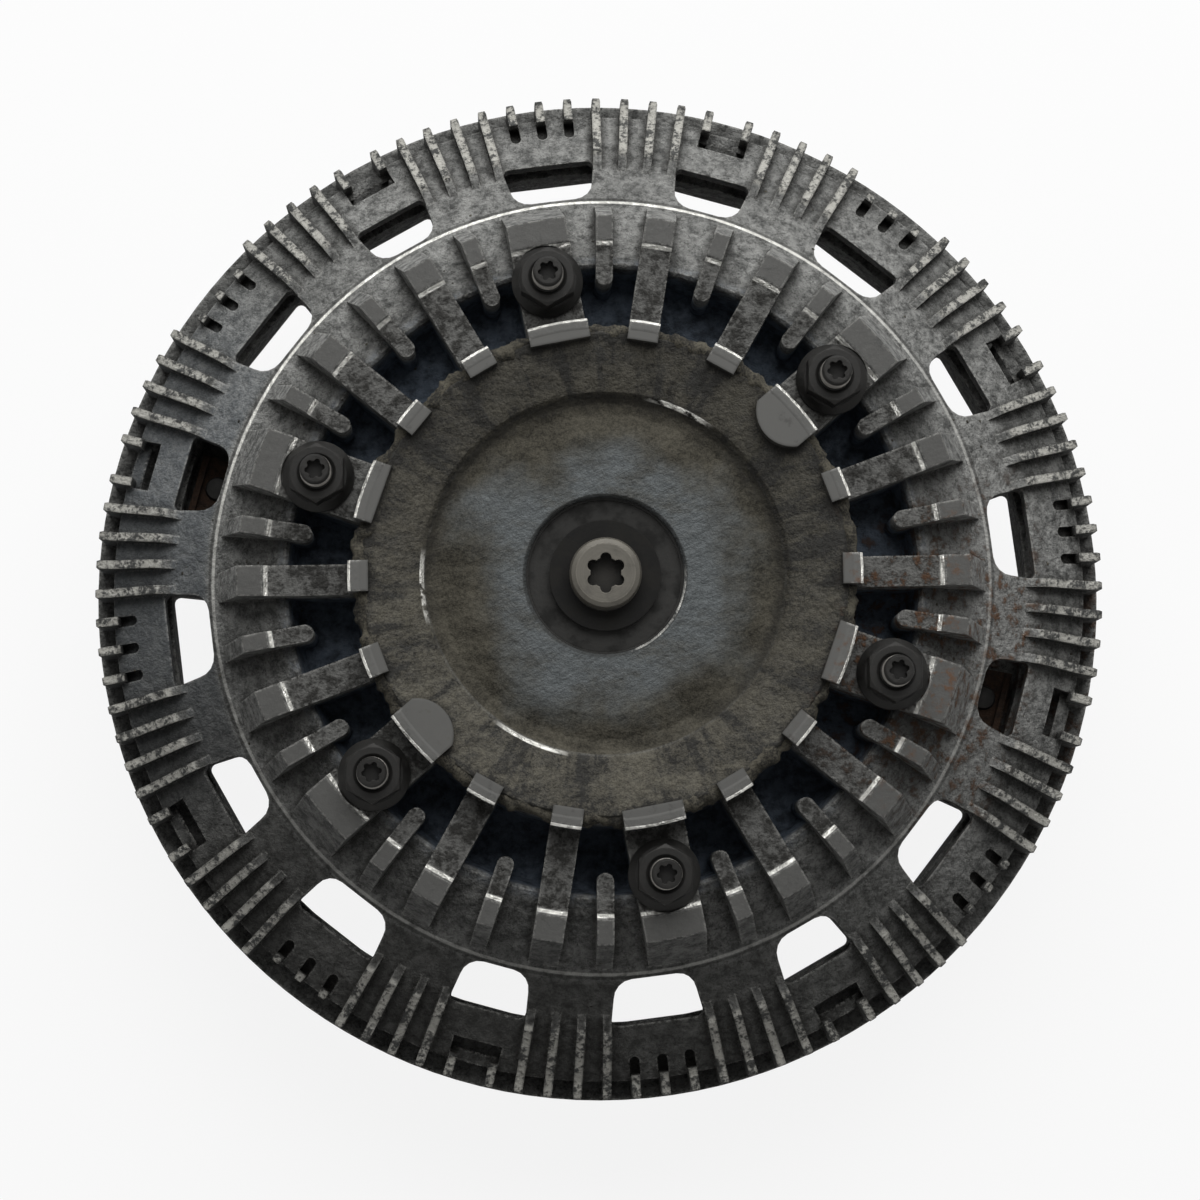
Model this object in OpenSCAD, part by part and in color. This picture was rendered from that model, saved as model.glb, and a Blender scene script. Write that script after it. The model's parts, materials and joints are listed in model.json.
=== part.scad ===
// Viscous fan clutch with a finned two-part housing, six fan studs and a rear electromagnet.
// Axis of rotation is Z, the rear flange of the shaft lies on Z = 0 and the fan side faces up.

/* [Shaft] */
// Radius of the rear flange
flange_r = 47; // [44:0.5:52]
// Thickness of the rear flange
flange_t = 9; // [7.5:0.5:14]
// Pitch circle diameter of the flange holes
flange_pcd = 74; // [66:1:78]
// Number of flange holes
flange_holes = 4; // [3:1:6]
// Radius of a flange hole
flange_hole_r = 4.25; // [3.3:0.05:5.5]
// Radius of the pilot bore in the flange
pilot_r = 17.5; // [12:0.5:22]
// Depth of the pilot bore
pilot_depth = 6; // [3:0.5:7]
// Radius of the shaft where the rotor sits
rotor_seat_r = 11; // [9.5:0.25:12]

/* [Rotor and chambers] */
// Radius of the rotor disc
rotor_r = 90; // [87.5:0.5:92]
// Thickness of the rotor disc
rotor_t = 12; // [10:0.5:16]
// Shear gap on each side of the rotor
shear_gap = 0.5; // [0.3:0.05:1]
// Depth of the fluid reservoir
reservoir_h = 13; // [13:0.5:20]
// Thickness of the pump plate
plate_t = 2; // [1.5:0.25:3]
// Number of annular lands on the cover
land_count = 5; // [2:1:5]
// Width of one annular land
land_w = 2; // [1.2:0.1:2.4]
// Height of one annular land
land_h = 3; // [1.5:0.25:4]

/* [Cover hub] */
// Thickness of the cover between the shear chamber and the fin pockets
cover_wall = 5; // [4:0.5:8]
// Height of the long fins above the pocket floor
fin_h = 27; // [25:0.5:32]
// Radius of the register that centres the fan
register_r = 63.2; // [62:0.1:65]
// Depth of the fan seat below the pads
register_h = 8.5; // [7:0.25:10]
// Radius where the fan seat ends
seat_out_r = 84.6; // [84.4:0.1:86]
// Height of the shoulder outside the fan seat
shoulder_h = 1.5; // [0.5:0.1:2.5]
// Inner radius of the pads on the long fins
pad_in_r = 58.1; // [57:0.1:59]
// Inner radius of the two long pads
long_pad_in_r = 52; // [50:0.25:54]
// Width of a long fin
fin_w = 7.6; // [5:0.1:9]
// Width of a stud boss
boss_w = 15; // [12:0.1:17]
// Width of a short rib
rib_w = 4.2; // [3:0.1:5]
// Radius where a short rib starts
rib_in_r = 73.2; // [71:0.1:76]
// Angle of the first stud boss
boss_a = 41.1; // [0:0.1:60]
// Radius of the hole in the middle of the dish
dish_hole_r = 19.6; // [18.5:0.1:21]
// Radius of the edge round the dish
dish_r = 45.6; // [44:0.1:48]

/* [Rim] */
// Radius to the tips of the rim fins
tip_r = 130; // [128.5:0.25:131]
// Outer radius of the conical rim plate
rim_r = 125.6; // [125:0.1:127]
// Slope of the shoulder cone in degrees
cone_a = 30; // [27:0.5:31]
// Slope of the rim cone in degrees
rim_a = 33; // [30:0.5:34]
// Thickness of the rim plate measured along the axis
rim_t = 4.5; // [3.5:0.25:5.5]
// Thickness of a rim fin
rim_fin_t = 2.2; // [1.4:0.1:2.4]
// Height of the rim fins above the rim plate
rim_fin_h = 4; // [1:0.1:5]
// Angular pitch of the rim fins in degrees
rim_fin_pitch = 3.35; // [3.3:0.01:3.4]
// Inner radius of the windows
window_in_r = 99.5; // [99.2:0.1:101]
// Outer radius of the windows
window_out_r = 111; // [110:0.1:112]
// Half angle of a wide window in degrees
wide_half_a = 6.1; // [5:0.05:6.3]
// Half angle of a narrow window in degrees
narrow_half_a = 5.1; // [4:0.05:5.3]

/* [Rear body] */
// Thickness of the rear wall
body_wall = 5; // [4.5:0.5:8]
// Outer radius of the drum
drum_r = 98; // [97.6:0.1:98.4]
// Outer radius of the rear ring
ring_r = 131; // [129:0.25:134]
// Thickness of the rear ring
ring_t = 5; // [4:0.25:6]
// Height of the upstand round the windows of the rear ring
upstand_h = 7; // [3:0.25:8]
// Number of rear ribs
rear_rib_count = 24; // [12:1:32]
// Height of the rear ribs
rear_rib_h = 7; // [3:0.5:9]
// Number of cover screws
screw_count = 8; // [4:4:8]
// Radius of a cover screw's shank
screw_r = 3; // [2.5:0.25:3.5]

/* [Bearings] */
// Bore radius of the front bearing
front_bore_r = 8.5; // [8:0.25:8.75]
// Outer radius of the front bearing
front_out_r = 23.5; // [22.5:0.25:24]
// Width of the front bearing
front_w = 14; // [13:0.5:14.5]
// Depth of the front bearing's face below the pads
front_face_depth = 9.5; // [9.5:0.25:11]
// Bore radius of the rear bearing
rear_bore_r = 12.5; // [12.25:0.25:13.5]
// Outer radius of the rear bearing
rear_out_r = 23.5; // [22.5:0.25:24]
// Width of the rear bearing
rear_w = 12; // [10:0.5:12.5]
// Bore radius of the coil bearing
coil_bore_r = 15; // [14.5:0.25:16]
// Outer radius of the coil bearing
coil_out_r = 27.5; // [26.5:0.25:28.5]
// Width of the coil bearing
coil_w = 13; // [11:0.5:14]
// Running clearance between balls and races
ball_gap = 0.06; // [0.03:0.01:0.1]

/* [Fasteners] */
// Radius of a fan stud
stud_r = 4; // [3:0.25:5]
// Pitch circle diameter of the fan studs
stud_pcd = 150; // [148:0.5:150]
// Length of a stud above the fan seat
stud_out = 14; // [10:0.5:20]
// Width across the flats of a fan nut
nut_flats = 13; // [12:0.5:13.5]
// Height of a fan nut
nut_h = 8; // [6:0.25:9]
// Radius of the nut's flange
nut_flange_r = 8.9; // [8.2:0.1:9.2]
// Radius of the centre screw's head
head_r = 8.9; // [8:0.1:10]
// Height of the centre screw's head
head_h = 5.5; // [4:0.25:6]
// Shank radius of the centre screw
centre_screw_r = 5; // [4:0.25:6]
// Outer radius of the centre washer
washer_r = 13.8; // [12:0.1:15]
// Thickness of the centre washer
washer_t = 2; // [1:0.25:3]

/* [Electromagnet] */
// Outer radius of the coil carrier
carrier_r = 52; // [50:0.5:54]
// Height of the coil carrier
carrier_h = 20; // [19:0.5:26]
// Gap between carrier and rear flange
carrier_gap = 1.5; // [1:0.1:3]
// Air gap between carrier and rear body
air_gap = 1.5; // [0.8:0.1:3]
// Wall of the coil carrier
carrier_wall = 4; // [3:0.25:5]

/* [Valve] */
// Radius of the valve lever's pivot from the axis
valve_pivot_r = 50; // [48:0.5:52]
// Radius of the fluid port from the axis
port_r = 68; // [66:0.5:70]
// Thickness of the valve lever
lever_t = 1.5; // [1:0.1:2]
// Width of the valve lever
lever_w = 12; // [10:0.5:16]

/* [Hidden] */
$fn = 96;

// Clearances: parts that sit on each other, parts that turn, and room for a cut to pass a face
slip = 0.02;
run_gap = 0.05;
free_gap = 0.3;
eps = 1;

// Heights of the stack, from the rear flange up to the pads
carrier_z = flange_t + carrier_gap;
carrier_top = carrier_z + carrier_h;
body_z = carrier_top + air_gap;
cavity_z = body_z + body_wall;
plate_z = cavity_z + reservoir_h;
joint_z = plate_z + plate_t;
rotor_z = joint_z + shear_gap;
rotor_top = rotor_z + rotor_t;
cover_in_z = rotor_top + shear_gap;
pocket_z = cover_in_z + cover_wall;
pad_z = pocket_z + fin_h;
seat_z = pad_z - register_h;
outer_pad_z = seat_z + shoulder_h;

// Cover hub: dish, collar, pockets and shoulder cone
dish_drop = 7;
dish_z = pad_z - dish_drop;
dish_flat_r = 34.5;
dish_sag = 1.4;
dish_edge_z = pad_z - 5.7;
collar_r = pad_in_r + 1.4;
collar_z = pad_z - 2;
pocket_in_r = collar_r + 4;
pocket_out_r = 77;
lip_r = 79.6;
lip_z = seat_z - 5.1;
step_r = drum_r;
step_h = 1.2;
step_z = lip_z - (step_r - lip_r) * tan(cone_a);
function collar_at(r) = dish_edge_z + (r - dish_r) * (collar_z - dish_edge_z) / (collar_r - dish_r);
function cone_at(r) = lip_z - (r - lip_r) * tan(cone_a);
function rim_at(r) = step_z - step_h - (r - step_r - step_h) * tan(rim_a);
pad_chamfer = 0.7;
fin_end_r = seat_out_r + 6.2;
fin_foot_r = step_r - 1;
boss_count = 6;
stud_a = [for (i = [0 : boss_count - 1]) boss_a + i * 360 / boss_count];
boss_step = 360 / boss_count;
fin_step = boss_step / 3;
rib_side_a = 11;
long_pad_end_r = 9;

// Inside of the cover
skirt_in_r = rotor_r + 1;
hollow_out_r = 54;
hollow_top = dish_z - 6.5;
hub_wall_r = front_out_r + 4.5;
land_pitch = 4.6;
land_first_r = 66;
groove_side = 0.5;
land_r = [for (i = [0 : land_count - 1]) land_first_r + i * land_pitch];

// Thinner web of the rotor with round holes for the fluid
web_in_r = rotor_seat_r + 9;
web_out_r = 54;
web_side = 3;
web_drop = 4;
web_hole_at_r = 38;
web_hole_r = 5;

// Rim pattern: eight repeats of one wide and one narrow window
repeat_count = 8;
repeat_a = 360 / repeat_count;
wide_a0 = boss_a - 1.5 * repeat_a / 2;
wide_a = [for (i = [0 : repeat_count - 1]) wide_a0 + i * repeat_a];
narrow_a = [for (a = wide_a) a + repeat_a / 2];
spoke_a = [for (a = wide_a) a + repeat_a / 4 + 0.45];
blocked = [3, 7];
window_corner = 5;
window_out_corner = 1.6;
rear_window_extra_a = 0.9;
tip_reach = 4.4;
fin_edge_r = min(rim_r, tip_r - tip_reach);
slot_out_r = fin_edge_r - 1.2;
slot_len = 5;
slot_in_r = slot_out_r - slot_len;
slot_w = 2.6;
slot_overlap = 0.4;
slot_sink = rim_t - 1.5;
fin_start_r = window_out_r - 2.5;
fin_full_r = window_out_r + 3;
cut_tip_r = fin_edge_r + 0.6;
tip_drop = 1.2;
tip_taper = 0.8;
tip_half = 0.8;

// Rear body
ring_z = body_z + 8;
ring_top = ring_z + ring_t;
upstand_t = 3;
upstand_r = window_out_r + upstand_t;
cavity_r = drum_r - 10;
plate_r = drum_r - 4.6;
plate_in_r = rear_out_r + 1.5;
hub_r = rear_out_r + 5;
seal_groove_r = drum_r - 2.3;
seal_r = 0.93;
seal_groove_w = 2.3;
seal_groove_d = 2 * seal_r + 0.04;
pillar_r = 5.5;
screw_in = 18;
screw_depth = 24;
screw_head_h = 5;
screw_flats = 10;
screw_flange_r = 6.5;
pillar_at_r = drum_r + screw_flange_r + 0.75;
rear_rib_w = 3.2;
rivet_r = 2;
rivet_head_r = rivet_r + 1.2;
weight_in_r = drum_r + 2;
weight_out_r = window_out_r - 1.5;
rivet_at_r = weight_in_r + 3.7;
weight_t = 3;
weight_bar_h = 2.5;
weight_bar_w = 1.6;
weight_bar_side = 0.5;
rear_rib_in_r = carrier_r + 6;
rear_rib_out_r = drum_r - 4;

// Bearings and shaft steps
rear_z = cavity_z;
coil_z = flange_t + 3;
front_top = pad_z - front_face_depth;
front_z = front_top - front_w;
seal_out_r = 20;
seal_lip_r = coil_bore_r + run_gap;
shaft_top = front_top - 0.5;
race_share = 0.3;
front_ball_r = 4.8;
rear_ball_r = 3.4;
coil_ball_r = 3.8;
front_ball_n = 7;
rear_ball_n = 11;
coil_ball_n = 11;
cage_t = 1.2;
cage_back = 0.9;
cage_grip = 0.4;
circlip_t = 1.2;
circlip_z = front_z - circlip_t - 0.05;
circlip_groove = 1.2;

// Electromagnet
winding_in_r = 33.5;
winding_out_r = carrier_r - carrier_wall - 0.5;
winding_h = carrier_h - carrier_wall - 2;
gland_a = 250;
gland_r = 6;
gland_len = 10;
cable_r = 3;
tab_a = 70;
tab_w = 16;
tab_len = 16;
tab_t = 4;
tab_hole_r = 3.3;

// Valve: the lever lies along +Y under the pump plate
pin_r = 1.2;
pin_z = plate_z - 3.2;
eye_r = 2.2;
ear_t = 1.5;
ear_gap = 0.3;
lever_gap = 0.35;
flap_r = 6;
port_hole_r = 3.2;
armature_t = 3;
armature_in_r = 36;
spring_t = 0.4;
spring_w = 6;
spring_foot = 8;

// Free ends of the studs, and the sockets in the studs and in the centre screw
stud_end_r = stud_r - 0.3;
stud_shoulder = 0.7;
stud_chamfer = 0.5;
stud_socket_r = 2.5;
head_socket_r = 5;
stud_socket_d = 2.5;
head_floor = 1;

// Star-shaped socket: six round lobes round a core
module star(r) {
  circle(r = r * 0.76);
  for (i = [0 : 5])
    rotate(i * 60 + 30)
      translate([r * 0.72, 0])
        circle(r = r * 0.28, $fn = 24);
}

// Hexagon with the given width across flats
module hexagon(flats) {
  circle(r = flats / 2 / cos(30), $fn = 6);
}

// Ring of rectangular section
module ring(r_in, r_out, h) {
  rotate_extrude()
    translate([r_in, 0])
      square([r_out - r_in, h]);
}

// Points of an arc about c
function arc(c, r, a0, a1, n) =
  [for (i = [0 : n]) c + r * [cos(a0 + (a1 - a0) * i / n), sin(a0 + (a1 - a0) * i / n)]];

// One race of a ball bearing: a ring with the balls' track turned in it
module race(r_in, r_out, w, ball_r, mid_r) {
  rotate_extrude()
    difference() {
      translate([r_in, 0])
        square([r_out - r_in, w]);
      translate([mid_r, w / 2])
        circle(r = ball_r + ball_gap, $fn = 48);
    }
}

function mid(r_in, r_out) = (r_in + r_out) / 2;
function inner_top(r_in, r_out) = r_in + race_share * (r_out - r_in);
function outer_low(r_in, r_out) = r_out - race_share * (r_out - r_in);

module race_in(r_in, r_out, w, ball_r) {
  race(r_in + slip, inner_top(r_in, r_out), w, ball_r, mid(r_in, r_out));
}

module race_out(r_in, r_out, w, ball_r) {
  race(outer_low(r_in, r_out), r_out - slip, w, ball_r, mid(r_in, r_out));
}

module ball_row(r_in, r_out, w, ball_r, n) {
  for (i = [0 : n - 1])
    rotate(i * 360 / n)
      translate([mid(r_in, r_out), 0, w / 2])
        sphere(r = ball_r);
}

// Crown cage: a ring with a closed back below the balls and a round pocket for each ball
module ball_cage(r_in, r_out, w, ball_r, n) {
  back_z = w / 2 - ball_r - cage_back;
  difference() {
    translate([0, 0, back_z])
      ring(mid(r_in, r_out) - cage_t, mid(r_in, r_out) + cage_t, w / 2 + ball_r * cage_grip - back_z);
    for (i = [0 : n - 1])
      rotate(i * 360 / n)
        translate([mid(r_in, r_out), 0, w / 2])
          sphere(r = ball_r + slip);
  }
}

module drive_shaft() {
  color("#6d6b68")
    difference() {
      rotate_extrude()
        polygon([
          [0, 0], [flange_r - 1, 0], [flange_r, 1], [flange_r, flange_t - 1], [flange_r - 1, flange_t],
          [coil_bore_r + 3, flange_t], [coil_bore_r + 3, coil_z], [coil_bore_r, coil_z],
          [coil_bore_r, rear_z], [rear_bore_r, rear_z], [rear_bore_r, rotor_z], [rotor_seat_r, rotor_z],
          [rotor_seat_r, front_z], [front_bore_r, front_z], [front_bore_r, shaft_top - 0.8],
          [front_bore_r - 0.8, shaft_top], [0, shaft_top]]);
      translate([0, 0, -eps])
        cylinder(r = pilot_r, h = pilot_depth + eps);
      for (i = [0 : flange_holes - 1])
        rotate(45 + i * 360 / flange_holes)
          translate([flange_pcd / 2, 0, -eps])
            cylinder(r = flange_hole_r, h = flange_t + 2 * eps);
      translate([0, 0, shaft_top - screw_depth])
        cylinder(r = centre_screw_r + slip, h = screw_depth + eps);
    }
}

module rotor_disc() {
  groove_w = land_w + 2 * groove_side;
  grooves = [for (i = [land_count - 1 : -1 : 0]) each [
    [land_r[i] + groove_w / 2, rotor_top], [land_r[i] + groove_w / 2, rotor_top - land_h],
    [land_r[i] - groove_w / 2, rotor_top - land_h], [land_r[i] - groove_w / 2, rotor_top]]];
  color("#9a9a98")
    difference() {
      rotate_extrude()
        polygon(concat([
          [rotor_seat_r + slip, rotor_z], [rotor_r - 1, rotor_z], [rotor_r, rotor_z + 1],
          [rotor_r, rotor_top - 1], [rotor_r - 1, rotor_top]], grooves, [
          [web_out_r + web_side, rotor_top], [web_out_r, rotor_top - web_drop],
          [web_in_r + web_side, rotor_top - web_drop], [web_in_r, rotor_top],
          [rotor_seat_r + slip, rotor_top]]));
      for (i = [0 : 5])
        rotate(i * 60)
          translate([web_hole_at_r, 0, rotor_z - eps])
            cylinder(r = web_hole_r, h = rotor_t + 2 * eps);
    }
}

module centre_washer() {
  color("#5c5148")
    translate([0, 0, front_top])
      ring(centre_screw_r + free_gap, washer_r, washer_t);
}

module centre_screw() {
  top = front_top + washer_t;
  color("#b0aca2")
    difference() {
      rotate_extrude()
        polygon([
          [0, shaft_top - screw_depth + 1], [centre_screw_r - 1, shaft_top - screw_depth + 1],
          [centre_screw_r, shaft_top - screw_depth + 2], [centre_screw_r, top], [head_r, top],
          [head_r, top + head_h - 1.4], [head_r - 0.5, top + head_h - 0.5], [head_r - 1.6, top + head_h],
          [0, top + head_h]]);
      translate([0, 0, top + head_floor])
        linear_extrude(head_h - head_floor + eps)
          star(head_socket_r);
    }
}

module front_bearing_inner() {
  color("#a8a8a6")
    translate([0, 0, front_z])
      race_in(front_bore_r, front_out_r, front_w, front_ball_r);
}

module front_bearing_outer() {
  color("#a8a8a6")
    translate([0, 0, front_z])
      race_out(front_bore_r, front_out_r, front_w, front_ball_r);
}

module front_bearing_balls() {
  color("#c4c4c4")
    translate([0, 0, front_z])
      ball_row(front_bore_r, front_out_r, front_w, front_ball_r, front_ball_n);
}

module front_bearing_cage() {
  color("#8c8c88")
    translate([0, 0, front_z])
      ball_cage(front_bore_r, front_out_r, front_w, front_ball_r, front_ball_n);
}

module front_bearing_shield() {
  color("#4a3f35")
    translate([0, 0, front_top - 1.2])
      ring(inner_top(front_bore_r, front_out_r) + free_gap, outer_low(front_bore_r, front_out_r) - slip, 0.9);
}

module front_circlip() {
  color("#3c3c3c")
    translate([0, 0, circlip_z])
      difference() {
        ring(front_out_r - 2, front_out_r + circlip_groove - 0.1, circlip_t);
        translate([0, -4, -eps])
          cube([front_out_r + 3, 8, circlip_t + 2 * eps]);
      }
}

module rear_bearing_inner() {
  color("#a8a8a6")
    translate([0, 0, rear_z])
      race_in(rear_bore_r, rear_out_r, rear_w, rear_ball_r);
}

module rear_bearing_outer() {
  color("#a8a8a6")
    translate([0, 0, rear_z])
      race_out(rear_bore_r, rear_out_r, rear_w, rear_ball_r);
}

module rear_bearing_balls() {
  color("#c4c4c4")
    translate([0, 0, rear_z])
      ball_row(rear_bore_r, rear_out_r, rear_w, rear_ball_r, rear_ball_n);
}

module rear_bearing_cage() {
  color("#8c8c88")
    translate([0, 0, rear_z])
      ball_cage(rear_bore_r, rear_out_r, rear_w, rear_ball_r, rear_ball_n);
}

module shaft_seal() {
  color("#26241f")
    translate([0, 0, body_z])
      rotate_extrude()
        polygon([
          [seal_lip_r, 1.8], [seal_lip_r + 1.2, 0.3], [seal_out_r - slip, 0.3],
          [seal_out_r - slip, body_wall], [seal_lip_r + 2.4, body_wall], [seal_lip_r + 2.4, 2.6],
          [seal_lip_r, 2.6]]);
}

module coil_bearing_inner() {
  color("#a8a8a6")
    translate([0, 0, coil_z])
      race_in(coil_bore_r, coil_out_r, coil_w, coil_ball_r);
}

module coil_bearing_outer() {
  color("#a8a8a6")
    translate([0, 0, coil_z])
      race_out(coil_bore_r, coil_out_r, coil_w, coil_ball_r);
}

module coil_bearing_balls() {
  color("#c4c4c4")
    translate([0, 0, coil_z])
      ball_row(coil_bore_r, coil_out_r, coil_w, coil_ball_r, coil_ball_n);
}

module coil_bearing_cage() {
  color("#8c8c88")
    translate([0, 0, coil_z])
      ball_cage(coil_bore_r, coil_out_r, coil_w, coil_ball_r, coil_ball_n);
}

// Coil carrier: a steel cup open towards the housing, with a cable gland and an arm that stops it turning
module coil_carrier() {
  color("#55534f")
    difference() {
      union() {
        translate([0, 0, carrier_z])
          rotate_extrude()
            polygon([
              [coil_out_r, 0], [carrier_r - 1, 0], [carrier_r, 1], [carrier_r, carrier_h],
              [winding_out_r, carrier_h], [winding_out_r, carrier_wall], [winding_in_r, carrier_wall],
              [winding_in_r, carrier_h], [coil_out_r, carrier_h]]);
        rotate(gland_a)
          translate([carrier_r - 2, 0, carrier_z + carrier_h / 2])
            rotate([0, 90, 0])
              cylinder(r = gland_r, h = gland_len + 2);
        rotate(tab_a) {
          translate([carrier_r - 3, -tab_w / 2, carrier_z])
            cube([tab_len + 3, tab_w, tab_t]);
          translate([carrier_r + tab_len, 0, carrier_z])
            cylinder(r = tab_w / 2, h = tab_t);
        }
      }
      rotate(gland_a)
        translate([carrier_r + 1, 0, carrier_z + carrier_h / 2])
          rotate([0, 90, 0])
            cylinder(r = cable_r, h = gland_len + 2);
      rotate(tab_a)
        translate([carrier_r + tab_len, 0, carrier_z - eps])
          cylinder(r = tab_hole_r, h = tab_t + 2 * eps);
    }
}

module coil_winding() {
  color("#7a4a2a")
    translate([0, 0, carrier_z + carrier_wall])
      ring(winding_in_r + slip, winding_out_r - slip, winding_h);
}

// Plan of one window, seen along the axis, with its corners rounded
module window_plan(half_a) {
  y_in = window_in_r * tan(half_a);
  in_mid = [window_in_r + window_corner, y_in - window_corner];
  out_x = window_out_r - window_out_corner;
  out_mid = [out_x, (out_x * sin(half_a) - window_out_corner) / cos(half_a)];
  steps = 4;
  polygon(concat(
    arc([in_mid[0], -in_mid[1]], window_corner, 180, 270 - half_a, steps),
    arc([out_mid[0], -out_mid[1]], window_out_corner, 270 - half_a, 360, steps),
    arc(out_mid, window_out_corner, 0, 90 + half_a, steps),
    arc(in_mid, window_corner, 90 + half_a, 180, steps)));
}

module windows_plan(skip, extra_a) {
  for (a = wide_a)
    rotate(a)
      window_plan(wide_half_a + extra_a);
  for (i = [0 : repeat_count - 1])
    if (len(search(i, skip)) == 0)
      rotate(narrow_a[i])
        window_plan(narrow_half_a + extra_a);
}

// Plan of one rim fin with a blunt tip
module rim_fin_plan(r_in, r_out) {
  half = rim_fin_t / 2;
  end_half = half * tip_half;
  polygon([
    [r_in, -half], [r_out - tip_taper, -half], [r_out, -end_half], [r_out, end_half],
    [r_out - tip_taper, half], [r_in, half]]);
}

// All rim fins: full ones on the spokes, short ones outside the windows
module rim_fins_plan() {
  for (i = [0 : repeat_count - 1])
    rotate(wide_a[i])
      for (k = [0 : 6])
        for (side = k == 0 ? [1] : [-1, 1])
          rotate(side * k * rim_fin_pitch)
            if (k >= 2 && k <= 5)
              rim_fin_plan(fin_start_r, tip_r);
            else
              rim_fin_plan(slot_out_r - slot_overlap, k < 2 && i % 2 == 1 ? cut_tip_r : tip_r);
}

// Side view of the rim fins, turned round the axis
module rim_fin_envelope() {
  top = rim_at(fin_edge_r) + rim_fin_h;
  rotate_extrude()
    polygon([
      [fin_start_r, rim_at(fin_start_r) - 2], [fin_start_r, rim_at(fin_start_r)],
      [fin_full_r, rim_at(fin_full_r) + rim_fin_h], [fin_edge_r, top], [tip_r, top - tip_drop],
      [tip_r, ring_top + slip], [upstand_r + free_gap, ring_top + slip],
      [upstand_r + free_gap, rim_at(upstand_r) - 2]]);
}

// Blind slots in the rim plate inside the short fins, each with a round inner end
module rim_slots_plan() {
  for (a = wide_a)
    rotate(a)
      for (k = [-1 : 1])
        rotate(k * rim_fin_pitch)
          translate([slot_in_r + slot_w / 2, 0]) {
            circle(r = slot_w / 2, $fn = 24);
            translate([0, -slot_w / 2])
              square([slot_len - slot_w / 2, slot_w]);
          }
}

// What lies above the floor of the blind slots
module rim_slot_envelope() {
  low_r = slot_in_r - 1;
  rotate_extrude()
    polygon([
      [low_r, rim_at(low_r) - slot_sink], [rim_r, rim_at(rim_r) - slot_sink], [rim_r, pad_z], [low_r, pad_z]]);
}

// Open notches in the rim plate between the short fins of each pair
module rim_notches_plan() {
  notch_half = slot_in_r * tan(repeat_a / 2 - 6 * rim_fin_pitch) + slot_w / 2;
  for (a = narrow_a)
    rotate(a)
      translate([slot_in_r, -notch_half])
        square([rim_r - slot_in_r + eps, 2 * notch_half]);
}

// Plan of the hub's fins: bosses, long fins and short ribs
module hub_fins_plan() {
  for (i = [0 : boss_count - 1])
    rotate(stud_a[i]) {
      if (i % 3 == 0)
        long_pad_plan();
      else
        bar_plan(pad_in_r, boss_w);
      for (k = [1, 2])
        rotate(k * fin_step)
          bar_plan(pad_in_r, fin_w);
      for (a = [rib_side_a, boss_step / 2, boss_step - rib_side_a])
        rotate(a) {
          bar_plan(rib_in_r + rib_w / 2, rib_w);
          translate([rib_in_r + rib_w / 2, 0])
            circle(r = rib_w / 2, $fn = 24);
        }
    }
}

module bar_plan(r_in, w) {
  translate([r_in, -w / 2])
    square([fin_foot_r + 1 - r_in, w]);
}

// Boss with a longer pad whose inner end is round
module long_pad_plan() {
  sag = long_pad_end_r - sqrt(pow(long_pad_end_r, 2) - pow(boss_w / 2, 2));
  bar_plan(long_pad_in_r + sag, boss_w);
  intersection() {
    translate([long_pad_in_r + long_pad_end_r, 0])
      circle(r = long_pad_end_r);
    translate([long_pad_in_r, -boss_w / 2])
      square([long_pad_end_r, boss_w]);
  }
}

// Side view of the hub's fins, turned round the axis: pads, fan seat and outer shoulder
module hub_fin_envelope() {
  low_r = long_pad_in_r - 1;
  root_r = lip_r + 0.8;
  rotate_extrude()
    polygon([
      [low_r, collar_at(low_r) - 2], [low_r, pad_z], [register_r - pad_chamfer, pad_z],
      [register_r, pad_z - pad_chamfer], [register_r, seat_z], [seat_out_r - shoulder_h, seat_z],
      [seat_out_r, outer_pad_z], [fin_end_r, outer_pad_z], [fin_foot_r, cone_at(fin_foot_r)],
      [fin_foot_r, cone_at(fin_foot_r) - 1], [root_r, cone_at(root_r) - 3], [root_r, pocket_z - 1],
      [collar_r + 1, pocket_z - 1], [collar_r - 1, collar_at(collar_r - 1) - 2]]);
}

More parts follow.
